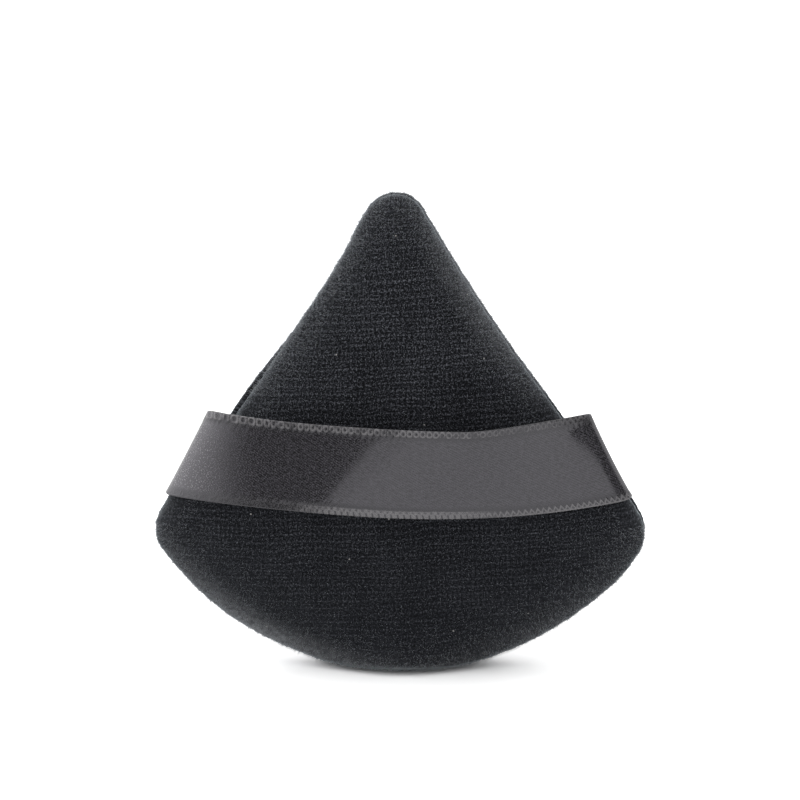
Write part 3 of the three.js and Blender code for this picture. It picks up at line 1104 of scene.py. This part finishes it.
        lean = unit(at(normal) + self.fibre_lean * draws.standard_normal((self.fibre_count, 3)))
        aside = unit(np.cross(lean, draws.standard_normal((self.fibre_count, 3))))
        turns = 2.0 * math.pi * np.arange(3)[None, :, None] / 3.0
        ring = np.cos(turns) * aside[:, None] + np.sin(turns) * np.cross(lean, aside)[:, None]
        root = at(skin) - self.fibre_root * lean
        tip = root + lean * draws.uniform(*self.fibre_length, (self.fibre_count, 1))
        feet = root[:, None] + self.fibre_radius * ring
        points = np.concatenate((feet, tip[:, None]), axis=1).reshape(-1, 3)
        corners = np.array(((0, 1, 3), (1, 2, 3), (2, 0, 3), (2, 1, 0)))
        triangles = (4 * np.arange(self.fibre_count)[:, None, None] + corners).reshape(-1, 3)
        # Painted rim light: each spike's share of the pale colour grows towards the rim.
        least, more = self.fibre_light
        start, run = self.fibre_light_way
        place = at(lay)
        place[:, 2:] = least + more * smooth((at(way[..., None]) - start) / run)
        return points, triangles, np.repeat(place, 4, axis=0)

    def inside(self, turn: Array) -> list[Array]:
        """Rings inside the seam: the lip that meets the other panel, the allowance, then the lining.

        Args:
            turn: Turn of each point of the rim.

        Returns:
            Rings of points in millimetres, from the seam inwards.
        """
        sizes = self.crown.sizes
        gap = self.half_gap(turn)
        way = np.linspace(1.0, 0.0, self.lining_rings + 1)[:-1]
        share, depth, _ = self.crown.section(way)
        height = sizes.crown - 2.0 * sizes.fabric
        opened = (gap - sizes.half_gap) / self.ribbon_room
        closing = (sizes.half_gap - self.lip_gap) * (1.0 - opened)
        start, end, after = self.lip_insets
        rows = [(start, 1.0, -closing), (end, 1.0, -closing), (after, 1.0, 0.0)]
        rows += [(sizes.allowance, 1.0, 0.0), (sizes.allowance, 1.0, sizes.fabric)]
        rows += [(sizes.rim_wall, s, sizes.fabric + height * d) for s, d in zip(share, depth)]
        rings = []
        for inset, out_share, deep in rows:
            plan = sizes.centre + self.crown.inset(turn, inset) * out_share
            rings.append(upright(plan, self.side.value * (gap + deep)))
        return rings

    def build(self) -> Piece:
        """Build the panel as one closed shell.

        Returns:
            The panel, dressed in its finish.
        """
        sizes = self.crown.sizes
        way, turn = square_map(self.cells)
        base = self.skin(way, turn)
        lay = self.lay(way, turn)
        across, up = np.gradient(base, axis=0), np.gradient(base, axis=1)
        normal = unit(-self.side.value * np.cross(across, up))
        outer = base + normal * self.pile(way, turn, lay)[..., None]

        rim = square_rim(self.cells)
        rings = self.inside(turn.ravel()[rim])
        first = (self.cells + 1) ** 2
        pole_y = self.side.value * (sizes.thickness / 2.0 - sizes.fabric)
        pole = np.array((0.0, pole_y, sizes.crown_height))
        shell = np.concatenate((outer.reshape(-1, 3), *rings, pole[None]))
        spikes, spike_faces, spike_lay = self.fibres(outer, normal, lay, way)
        points = np.concatenate((shell, spikes))
        points[:, 2] = self.crown.foot(points[:, 2])
        numbers = [rim] + [first + k * len(rim) + np.arange(len(rim)) for k in range(len(rings))]
        quads = [grid_quads(0, self.cells + 1, self.cells + 1)]
        quads += [ring_quads(numbers[k], numbers[k + 1]) for k in range(len(rings))]
        faces = np.concatenate(quads)
        triangles = fan(numbers[-1], len(shell) - 1)
        if self.side is Side.BACK:
            faces, triangles = faces[:, ::-1], triangles[:, ::-1]
        triangles = np.concatenate((triangles, spike_faces + len(shell)))

        name = f"{self.side.name.lower()}_velour"
        piece = make_piece(name, points, faces, triangles)
        hidden = np.concatenate([lay.reshape(-1, 3)[rim]] * len(rings) + [np.zeros((1, 3))])
        set_lay(piece, "lay", np.concatenate((lay.reshape(-1, 3), hidden, spike_lay)))
        piece.data.materials.append(self.finish.material())
        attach(piece, Body.PAD.value)
        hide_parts(f"{self.side.name.lower()}_cover")
        return piece


@dataclass
class SpongeCore:
    """Sponge filling: two crowns inside the panels, joined by a web inside the seam allowances."""

    crown: Crown
    finish: SpongeFinish
    cells: int = 96
    cell_size: float = 1.1
    cell_start: float = 200.0
    roughness: float = 0.09
    rim_fade: float = 8.0

    def build(self) -> Piece:
        """Build the sponge as one closed body.

        Returns:
            The sponge, dressed in its finish.
        """
        sizes = self.crown.sizes
        rim_inset = sizes.stitch_inset + sizes.thread + 2.0 * sizes.clearance
        groove = sizes.half_gap + sizes.fabric + sizes.clearance
        height = sizes.thickness / 2.0 - sizes.fabric - sizes.clearance - groove
        way, turn = square_map(self.cells)
        share, depth, _ = self.crown.section(way)
        plan = sizes.centre + self.crown.inset(turn, rim_inset) * share[..., None]
        place = (plan + self.cell_start) / self.cell_size
        pits = lattice_noise(place[..., 0], place[..., 1], 5)
        pitted = self.roughness * (1.0 + pits) * smooth((1.0 - way) * self.rim_fade)
        front = upright(plan, -(groove + height * depth - pitted)).reshape(-1, 3)

        rim = square_rim(self.cells)
        count, around = len(front), len(rim)
        web_inset = sizes.allowance + sizes.clearance
        web = sizes.centre + self.crown.inset(turn.ravel()[rim], web_inset)
        web_front = upright(web, np.full(around, -groove))
        turned = np.array((1.0, -1.0, 1.0))
        points = np.concatenate((front, front * turned, web_front, web_front * turned))
        web_ring = 2 * count + np.arange(around)
        rings = (rim, web_ring, web_ring + around, count + rim)
        skin = grid_quads(0, self.cells + 1, self.cells + 1)
        strips = [ring_quads(rings[k], rings[k + 1]) for k in range(len(rings) - 1)]
        quads = np.concatenate((skin, (skin + count)[:, ::-1], *strips))
        piece = make_piece("sponge_filling", points, quads, np.empty((0, 3), int))
        piece.data.materials.append(self.finish.material())
        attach(piece, Body.PAD.value)
        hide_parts("sponge_core")
        return piece


@dataclass(frozen=True)
class EdgeFold:
    """One edge of the ribbon from its middle to the seam.

    It has a way out of the seam and a way up where it turns, a share of late bending, and a bow upwards
    on the way.
    """

    out: float
    rise: float
    late: float = 0.0
    bow: float = 0.0


@dataclass(frozen=True)
class CordedEdges:
    """Relief of the ribbon's edges, by the way along it and across it, in millimetres.

    A change along the ribbon is held as where it starts and how long it takes. Rows are shares of the
    corded band, counted from the edge, and covers are a level and its shares of noise.
    """

    band: float = 1.1
    walk_steps: int = 4000
    wobble: float = 0.10
    wobble_step: float = 1.3
    speckle_step: float = 0.20
    broken_steps: Pair = (0.9, 0.7)
    loop_pitch: float = 0.94
    loop_growth: float = 0.60
    growth_left: Pair = (-13.0, 14.0)
    ring_row: float = 0.52
    ring_squash: float = 0.85
    ring_radius: float = 0.36
    ring_spread: float = 0.40
    loop_cover: Triple = (0.72, 0.30, 0.35)
    least_cover: float = 0.1
    loop_fade: float = 0.42
    fade_right: Pair = (6.0, 12.0)
    tooth_pitch: float = 0.89
    tooth_wobble: float = 0.8
    tooth_lean: float = 0.25
    zigzag_right: Pair = (6.0, 14.0)
    zigzag_rows: Triple = (0.16, 0.58, 0.20)
    hem_rows: Pair = (0.32, 0.14)
    hem_level: float = 0.9
    notch_peaks: Pair = (0.34, 0.2)
    notch_rows: Pair = (0.62, 0.14)
    dot_rows: Pair = (0.78, 0.13)
    dot_spread: float = 0.45
    dot_depth: float = 0.8
    tick_cover: Pair = (0.80, 0.25)
    sewn_right: Pair = (-19.0, 12.0)
    # Low, patchy level that the lower edge's stitches give way to on the left, which flattens it and
    # darkens its colour.
    faint_level: float = 0.22
    faint_cover: Triple = (0.2, 0.9, 0.5)
    band_end: Pair = (0.9, 0.3)

    def loops(self, along: Array, from_top: Array, wobble: Array, cover: Array) -> Array:
        """Loops of the upper edge: rings of bell section, whose pitch grows to the left.

        Args:
            along: Distance along the ribbon.
            from_top: Distance from the upper edge.
            wobble: How far each loop is out of step, as a share of the pitch.
            cover: How much of the loops is there.

        Returns:
            Heights from 0 to 1.
        """
        walk = np.linspace(along.min(), along.max(), self.walk_steps)
        start, run = self.growth_left
        pitches = self.loop_pitch + self.loop_growth * smooth((start - walk) / run)
        turns = np.cumsum(np.gradient(walk) / pitches)
        pitch = np.interp(along, walk, pitches)
        step = (np.interp(along, walk, turns) + wobble) % 1.0 - 0.5
        level = self.ring_squash * (from_top - self.ring_row * self.band)
        ring = np.hypot(step * pitch, level) / (self.ring_radius * pitch)
        loops = np.exp(-(((ring - 1.0) / self.ring_spread) ** 2)) * cover
        start, run = self.fade_right
        return loops * (1.0 - self.loop_fade * smooth((along - start) / run))

    def stitches(self, along: Array, row: Array, wobble: Array) -> Array:
        """Stitches of the lower edge: notched and dotted blocks, and to the right a zigzag over a hem.

        Args:
            along: Distance along the ribbon.
            row: Share of the corded band from the lower edge.
            wobble: How far each stitch is out of step.

        Returns:
            Heights from 0 to 1.
        """
        slant = self.tooth_lean * row
        tooth = (along / self.tooth_pitch + self.tooth_wobble * wobble + slant) % 1.0
        peak = 1.0 - np.abs(2.0 * tooth - 1.0)
        start, run = self.zigzag_right
        rightwards = smooth((along - start) / run)
        low, rise, spread = self.zigzag_rows
        zigzag = np.exp(-(((row - low - rise * peak) / spread) ** 2))
        hem = smooth((self.hem_rows[0] - row) / self.hem_rows[1])
        valleys = smooth((self.notch_peaks[0] - peak) / self.notch_peaks[1])
        notches = valleys * smooth((self.notch_rows[0] - row) / self.notch_rows[1])
        middle, spread = self.dot_rows
        dots = np.exp(-(((row - middle) / spread) ** 2) - ((peak - 1.0) / self.dot_spread) ** 2)
        blocks = (1.0 - notches) * (1.0 - self.dot_depth * dots)
        stitches = blocks * (1.0 - rightwards) + zigzag * rightwards
        return np.maximum(stitches, self.hem_level * hem * rightwards)

    def relief(self, along: Array, across: Array, width: float) -> Array:
        """Both edges, broken up by smooth noise, with the lower one flattened to a low, patchy level to
        the left.

        Args:
            along: Distance along the ribbon.
            across: Distance from the lower edge.
            width: Width of the ribbon.

        Returns:
            Heights from 0 to 1 in the corded bands, and less than 0 down to -1 in the plain satin.
        """
        fine, (wide, tall) = self.speckle_step, self.broken_steps
        shift = lattice_noise(along / self.wobble_step + 100.0, across * 0.0 + 0.5, 42)
        speckle = lattice_noise(along / fine + 300.0, across / fine + 10.0, 43)
        broken = lattice_noise(along / wide + 100.0, across / tall + 10.0, 44)
        wobble = self.wobble * shift

        base, small, large = self.loop_cover
        cover = np.clip(base + small * speckle + large * broken, self.least_cover, 1.0)
        loops = self.loops(along, width - across, wobble, cover)
        base, small = self.tick_cover
        ticks = self.stitches(along, across / self.band, wobble) * (base + small * speckle)
        start, run = self.sewn_right
        sewn = smooth((along - start) / run)
        base, small, large = self.faint_cover
        patchy_share = smooth(base + small * speckle + large * broken)
        ticks = ticks * sewn + (1.0 - sewn) * self.faint_level * patchy_share

        corded = np.where(across > width / 2.0, loops, ticks)
        start, run = self.band_end
        to_edge = np.minimum(across, width - across)
        inside = smooth((to_edge - start * self.band) / (run * self.band))
        return corded * (1.0 - inside) - inside


@dataclass
class FingerRibbon:
    """Satin ribbon in one length: its arch over the fingers, its turns at the side seams, its tails."""

    crown: Crown
    finish: SatinFinish
    edging: CordedEdges = CordedEdges()
    width: float = 12.7
    thickness: float = 0.3
    stated_thickness: float = 0.35
    height: float = 31.3
    seam_height: float = 30.0
    finger_gap: float = 5.8
    fold_inset: float = 0.6
    fold_round: float = 1.3
    arch_ease: float = 0.16
    arch_asides: Pair = (-1.0, 11.0)
    late_power: int = 8
    left_powers: Pair = (2.3, 1.6)
    right_powers: Pair = (2.3, 1.6)
    left_folds: tuple[EdgeFold, EdgeFold] = (
        EdgeFold(1.75, -0.8, 0.0, 0.5), EdgeFold(4.2, 0.4, 0.24))
    right_folds: tuple[EdgeFold, EdgeFold] = (
        EdgeFold(1.5, -0.75, 0.0, -0.3), EdgeFold(4.45, 0.15, 0.0, 0.3))
    left_softness: float = 1.7
    right_softness: float = 1.4
    soft_reach: float = 3.0
    handover: float = 20.0
    columns: int = 1300
    arch_points: int = 240
    turn_points: int = 80
    tail_points: int = 20
    band_points: int = 13
    face_points: int = 14
    back_points: int = 12
    cord_height: float = 0.07
    edge_round: float = 0.14
    edge_blunt: float = 0.97

    def anchor(self) -> tuple[Array, Array, Array]:
        """Where the ribbon's middle crosses the right side seam.

        Returns:
            That place, the way out of the seam and the way up along it, in X and Z.
        """
        outline = self.crown.outline
        run = math.sqrt(outline.side_radius**2 - (self.seam_height - outline.side[1]) ** 2)
        place = np.array((outline.side[0] - run, self.seam_height))
        out = (outline.side - place) / np.hypot(*(outline.side - place))
        return place, out, np.array((-out[1], out[0]))

    def edge(self, hand: int, folded: EdgeFold, power: float, aside: float) -> Array:
        """Half of one edge of the ribbon, as on the right.

        The arch is a power curve in plan, eased in the middle, with a share of a late, higher power. The
        turn is a cubic curve from the end of the arch to the seam, and the tail goes straight in.

        Args:
            hand: 1 for the upper edge and -1 for the lower.
            folded: How the edge turns at the seam.
            power: Power of the arch.
            aside: How far out the middle of the arch is.

        Returns:
            Points from the middle outwards in millimetres.
        """
        sizes = self.crown.sizes
        place, out, along = self.anchor()
        seam_end = place + along * hand * self.width / 2.0
        share = 1.0 - self.fold_inset / float(np.hypot(*(place - sizes.centre)))
        rise = sizes.crown * (1.0 - share**2) ** sizes.crown_power
        fold_depth = sizes.half_gap + rise + sizes.clearance + self.stated_thickness / 2.0
        reach = sizes.thickness / 2.0 + self.finger_gap + self.stated_thickness / 2.0
        lower_end = place - along * self.width / 2.0 - sizes.centre
        slant = float(np.hypot(*lower_end))
        tail = sizes.allowance * float(out @ lower_end) / slant - 2.0 * sizes.clearance

        def in_seam(inset: float) -> Array:
            """Point in the seam's plane, an inset into the seam from its edge."""
            spot = seam_end - out * inset
            return np.array((spot[0], 0.0, spot[1]))

        fold = in_seam(-folded.out) + np.array((0.0, 0.0, folded.rise))
        middle_z = self.height + hand * self.width / 2.0
        sweep = reach - fold_depth
        s = np.linspace(0.0, 1.0, self.arch_points)
        ease, late = self.arch_ease, folded.late
        lifted = (s * s + ease * ease) ** (power / 2.0) - ease**power
        lifted = (1.0 - late) * lifted / lifted[-1] + late * s**self.late_power
        run, drop = fold[0] - aside, fold[2] - middle_z
        level = middle_z + drop * s * s + folded.bow * np.sin(math.pi * s)
        arch = np.stack((aside + run * s, sweep * lifted - reach, level), axis=-1)
        steepness = (1.0 - late) * power + late * self.late_power
        leaving = np.array((run, steepness * sweep, 2.0 * drop - math.pi * folded.bow))
        leaving /= np.linalg.norm(leaving)
        held = (arch[-1], arch[-1] + leaving * self.fold_round,
                in_seam(-sizes.clearance - self.fold_round), in_seam(-sizes.clearance))
        t = np.linspace(0.0, 1.0, self.turn_points)[1:, None]
        turn = (held[0] * (1 - t) ** 3 + held[1] * 3 * t * (1 - t) ** 2
                + held[2] * 3 * t**2 * (1 - t) + held[3] * t**3)
        inwards = np.linspace(0.0, 1.0, self.tail_points)[1:, None]
        last = in_seam(-sizes.clearance) * (1 - inwards) + in_seam(tail) * inwards
        return np.concatenate((arch, turn, last))

    def edges(self) -> tuple[Array, Array, Array]:
        """Both edges from the left tail to the right one, in even steps along the ribbon.

        Returns:
            Points of the lower edge, points of the upper edge, and the distance along the ribbon.
        """
        halves = []
        sides = (
            (self.left_folds, self.left_powers, -1.0), (self.right_folds, self.right_powers, 1.0))
        for folds, powers, mirror in sides:
            lines = [self.edge(hand, fold, power, mirror * aside)
                     for hand, fold, power, aside in zip((-1, 1), folds, powers, self.arch_asides)]
            both = np.stack(lines) * np.array((mirror, 1.0, 1.0))
            halves.append((lengths(both.mean(axis=0)), both))
        (left_walk, left), (right_walk, right) = halves
        along = np.linspace(-left_walk[-1], right_walk[-1], self.columns + 1)
        step = along[1] - along[0]

        def softened(line: Array, softness: float) -> Array:
            """A line averaged over a bell curve of the distance along it."""
            reach = int(self.soft_reach * softness / step)
            weights = np.exp(-0.5 * (np.arange(-reach, reach + 1) * step / softness) ** 2)
            held = np.pad(line, reach, mode="reflect", reflect_type="odd")
            return np.convolve(held, weights / weights.sum(), mode="valid")

        def whole(number: int) -> Array:
            """One edge at the even steps, softened along its length."""
            parts = []
            rightwards = smooth(0.5 + along / self.handover)
            for axis in range(3):
                on_left = np.interp(-along, left_walk, left[number, :, axis])
                on_right = np.interp(along, right_walk, right[number, :, axis])
                line = np.where(along < 0.0, on_left, on_right)
                left_part = softened(line, self.left_softness) * (1.0 - rightwards)
                parts.append(left_part + softened(line, self.right_softness) * rightwards)
            return np.stack(parts, axis=-1)

        return whole(0), whole(1), along

    @staticmethod
    def walked(line: Array) -> Array:
        """Length along an edge to each of its points, from where it crosses the middle of the puff."""
        length = lengths(line)
        return length - length[int(np.argmin(np.abs(line[:, 0])))]

    def across(self) -> tuple[Array, Array]:
        """Section of the ribbon, up its front and down its back.

        Returns:
            Distance of each point from the lower edge, and 1 on the front or -1 on the back.
        """
        band = np.linspace(0.0, self.edging.band, self.band_points)
        ends = self.edging.band, self.width - self.edging.band
        plain = np.linspace(*ends, self.face_points)[1:-1]
        front = np.concatenate((band, plain, self.width - band[::-1]))
        back = np.linspace(self.width, 0.0, self.back_points)[1:-1]
        facing = np.repeat((1.0, -1.0), (len(front), len(back)))
        return np.concatenate((front, back)), facing

    def build(self) -> Piece:
        """Build the ribbon as one closed band.

        Returns:
            The ribbon, dressed in its finish.
        """
        lower, upper, along = self.edges()
        across, facing = self.across()
        share = (across / self.width)[None, :, None]
        flat = lower[:, None] * (1.0 - share) + upper[:, None] * share
        outward = unit(np.cross(np.gradient(flat, axis=0), (upper - lower)[:, None]))
        to_edge = np.minimum(across, self.width - across)
        blunt = np.clip(1.0 - to_edge / self.edge_round, 0.0, self.edge_blunt)
        rounded = np.sqrt(1.0 - blunt**2)
        up = share[..., 0]
        u = self.walked(lower)[:, None] * (1.0 - up) + self.walked(upper)[:, None] * up
        v = np.broadcast_to(across[None], u.shape)
        relief = self.edging.relief(u, v, self.width)
        raised = np.where(facing > 0.0, relief, -1.0)
        thick = self.thickness / 2.0 + self.cord_height * np.maximum(raised, 0.0)
        offset = facing * rounded * thick
        points = flat + outward * offset[..., None]

        count = len(across)
        numbers = np.arange(points.shape[0] * count).reshape(-1, count)
        strips = [ring_quads(numbers[k], numbers[k + 1]) for k in range(len(numbers) - 1)]
        quads = np.concatenate(strips)[:, ::-1]
        tips = len(numbers) * count
        ends = np.concatenate((fan(numbers[0], tips)[:, ::-1], fan(numbers[-1], tips + 1)))
        middles = np.stack((points[0].mean(axis=0), points[-1].mean(axis=0)))
        whole = np.concatenate((points.reshape(-1, 3), middles))
        piece = make_piece("finger_ribbon", whole, quads, ends)
        weave = np.stack((u, v, raised), axis=-1).reshape(-1, 3)
        set_lay(piece, "weave", np.concatenate((weave, np.zeros((2, 3)))))
        piece.data.materials.append(self.finish.material())
        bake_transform(piece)
        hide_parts("ribbon_span", "ribbon_left_end", "ribbon_right_end")
        return piece


@dataclass
class SeamThreads:
    """The two threads inside the seam, which keep their own shapes."""

    finish: ThreadFinish
    nodes: tuple[str, ...] = ("seam_thread", "closing_thread")

    def dress(self) -> list[Piece]:
        """Dress both threads in their finish.

        Returns:
            The dressed objects.
        """
        material = self.finish.material()
        pieces = [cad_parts[name] for name in self.nodes]
        for piece in pieces:
            piece.data.materials.clear()
            piece.data.materials.append(material)
        return pieces


@dataclass(frozen=True)
class SoftLight:
    """One rectangular studio light, seen from the puff at an azimuth and an elevation."""

    name: str
    azimuth: float
    elevation: float
    distance: float
    size: Pair
    brightness: float

    def place(self, aim: Vector) -> Piece:
        """Put up the light. Its power is its brightness times its area and pi.

        Args:
            aim: Point that it faces, in metres.

        Returns:
            The light.
        """
        lamp = bpy.data.lights.new(self.name, "AREA")
        lamp.shape = "RECTANGLE"
        lamp.size, lamp.size_y = self.size
        lamp.energy = self.brightness * math.pi * self.size[0] * self.size[1]
        light = bpy.data.objects.new(self.name, lamp)
        away = bearing(self.azimuth, self.elevation)
        light.location = aim + away * self.distance
        light.rotation_euler = away.to_track_quat("Z", "Y").to_euler()
        bpy.context.scene.collection.objects.link(light)
        return light


@dataclass(frozen=True)
class WallPart:
    """One part of the room as light.

    Its azimuth, half width and softness are in degrees, and its heights are sines.
    """

    azimuth: float
    half_width: float
    heights: Pair
    level: float
    softness: float = 3.0

    def over(self, graph: Graph, way: Socket, level: object) -> Socket:
        """Put this part over a level that the room has without it.

        Args:
            graph: Graph of the world.
            way: Direction that is looked in.
            level: Level so far, linked or plain.

        Returns:
            The level with this part.
        """
        turn = math.radians(self.azimuth)
        level_way = graph.stretched(way, (1.0, 1.0, 0.0))
        plan = graph.add("VectorMath", {0: level_way}, operation="NORMALIZE")
        towards = {0: plan, 1: (math.sin(turn), -math.cos(turn), 0.0)}
        facing = graph.add("VectorMath", towards, "Value", operation="DOT_PRODUCT")
        ends = [self.half_width + side * self.softness for side in (1.0, -1.0)]
        wide = graph.ranged(facing, tuple(math.cos(math.radians(end)) for end in ends))
        height = graph.parts(way)[2]
        low, high = self.heights
        soft = math.sin(math.radians(self.softness)) / 2.0
        above = graph.ranged(height, (low - soft, low + soft))
        below = graph.ranged(height, (high - soft, high + soft), (1.0, 0.0))
        share = graph.maths("MULTIPLY", wide, graph.maths("MULTIPLY", above, below))
        return graph.maths("MULTIPLY_ADD", graph.maths("SUBTRACT", self.level, level), share, level)


@dataclass
class Studio:
    """White table, soft lights and the camera."""

    lights: tuple[SoftLight, ...] = (
        SoftLight("key_light", -20.0, 78.0, 2.2, (1.3, 1.3), 0.7),
    )
    light_aim: Triple = (0.0, 0.0, 0.033)
    room_level: float = 0.86
    walls: tuple[WallPart, ...] = (
        WallPart(-158.0, 48.0, (-0.20, 0.45), 2.2, 6.0),
        WallPart(-30.0, 50.0, (-2.0, -0.01), 0.10, 1.0),
        WallPart(-60.0, 37.0, (-0.60, 0.30), 0.13, 1.5),
        WallPart(-108.0, 32.0, (-0.15, 0.75), 1.8, 30.0),
        WallPart(87.5, 16.0, (-0.02, 0.45), 0.12, 2.5),
    )
    table_colour: float = 0.84
    table_seen: float = 1.65
    table_outline: tuple[Pair, ...] = (
        (-0.19, -0.10), (-0.10, -0.13), (-0.06, -0.15), (-0.95, -2.27), (-1.0, -2.5), (1.5, -2.5),
        (1.5, 2.5), (-0.19, 2.5), (0.60, 0.50),
    )
    camera_azimuth: float = 4.5
    camera_elevation: float = 14.0
    camera_roll: float = 0.59
    camera_distance: float = 1.2
    pixels_per_mm: float = 7.036
    image_width: float = 800.0
    sensor_width: float = 36.0
    aim: Triple = (0.24, 0.0, 38.8)

    def build(self) -> None:
        """Put up the table, the lights, the world and the camera."""
        bpy.context.scene.view_settings.view_transform = "Standard"
        self.table()
        for light in self.lights:
            light.place(Vector(self.light_aim))
        self.world()
        self.camera()

    def table(self) -> None:
        """White table top, brighter to the eye than as a light, that keeps the shadow."""
        plan = np.array(self.table_outline) / MM
        points = np.column_stack((plan, np.zeros(len(plan))))
        corners = np.arange(len(plan) - 1)
        table = make_piece("table_top", points, np.empty((0, 4), int), fan(corners, len(corners)))
        shader = Shader("white_table")
        paths = shader.tree.nodes.new("ShaderNodeLightPath")
        eye, through = paths.outputs["Is Camera Ray"], paths.outputs["Is Transmission Ray"]
        seen = shader.maths("MAXIMUM", eye, through)
        brighter = self.table_seen - self.table_colour
        shader.feed(shader.surface, {
            "Base Color": shader.maths("MULTIPLY_ADD", seen, brighter, self.table_colour),
            "Roughness": 1.0,
            "Specular IOR Level": 0.0,
        })
        table.data.materials.append(shader.material)

    def world(self) -> None:
        """White to the eye all round; as light, a pale room with brighter and darker walls."""
        world = bpy.data.worlds.new("studio")
        bpy.context.scene.world = world
        world.use_nodes = True
        graph = Graph(world.node_tree)
        way = graph.add("TexCoord", {}, "Generated")
        light = self.room_level
        for wall in self.walls:
            light = wall.over(graph, way, light)
        seen = graph.add("LightPath", {}, "Is Camera Ray")
        graph.feed(graph.tree.nodes["Background"], {
            "Color": (1.0, 1.0, 1.0, 1.0),
            "Strength": graph.maths("MAXIMUM", light, seen),
        })

    def camera(self) -> None:
        """Camera at the photograph's angle, rolled by a fraction of a degree."""
        turn, roll = math.radians(self.camera_azimuth), math.radians(self.camera_roll)
        back = bearing(self.camera_azimuth, self.camera_elevation)
        level_right = Vector((math.cos(turn), math.sin(turn), 0.0))
        level_up = back.cross(level_right)
        right = level_right * math.cos(roll) - level_up * math.sin(roll)
        up = level_right * math.sin(roll) + level_up * math.cos(roll)
        lens = bpy.data.cameras.new("camera")
        lens.sensor_width = self.sensor_width
        focal = self.pixels_per_mm * self.camera_distance / MM
        lens.lens = focal * lens.sensor_width / self.image_width
        camera = bpy.data.objects.new("camera", lens)
        place = Vector(self.aim) * MM + back * self.camera_distance
        turned = Matrix((right, up, back)).transposed().to_4x4()
        camera.matrix_world = Matrix.Translation(place) @ turned
        bpy.context.scene.collection.objects.link(camera)
        bpy.context.scene.camera = camera


def report(piece: Piece) -> None:
    """Log one piece with its count of faces."""
    LOG.info("%s: %d faces", piece.name, len(piece.data.polygons))


def main() -> None:
    """Build the puff's pieces and the studio."""
    logging.basicConfig(level=logging.INFO, format="%(name)s: %(message)s")
    sizes = PuffSizes()
    crown = Crown(sizes, SeamOutline(sizes))
    swelling = Swelling(crown)
    moved = swelling.run()
    LOG.info("cover swelled by up to %.2f mm", float(np.linalg.norm(moved, axis=-1).max()))
    finish = VelourFinish()
    for number, side in enumerate(Side):
        report(VelourPanel(crown, swelling, moved[number], side, finish).build())
    report(SpongeCore(crown, SpongeFinish()).build())
    report(FingerRibbon(crown, SatinFinish()).build())
    for piece in SeamThreads(ThreadFinish()).dress():
        report(piece)
    Studio().build()


if __name__ == "__main__":
    main()
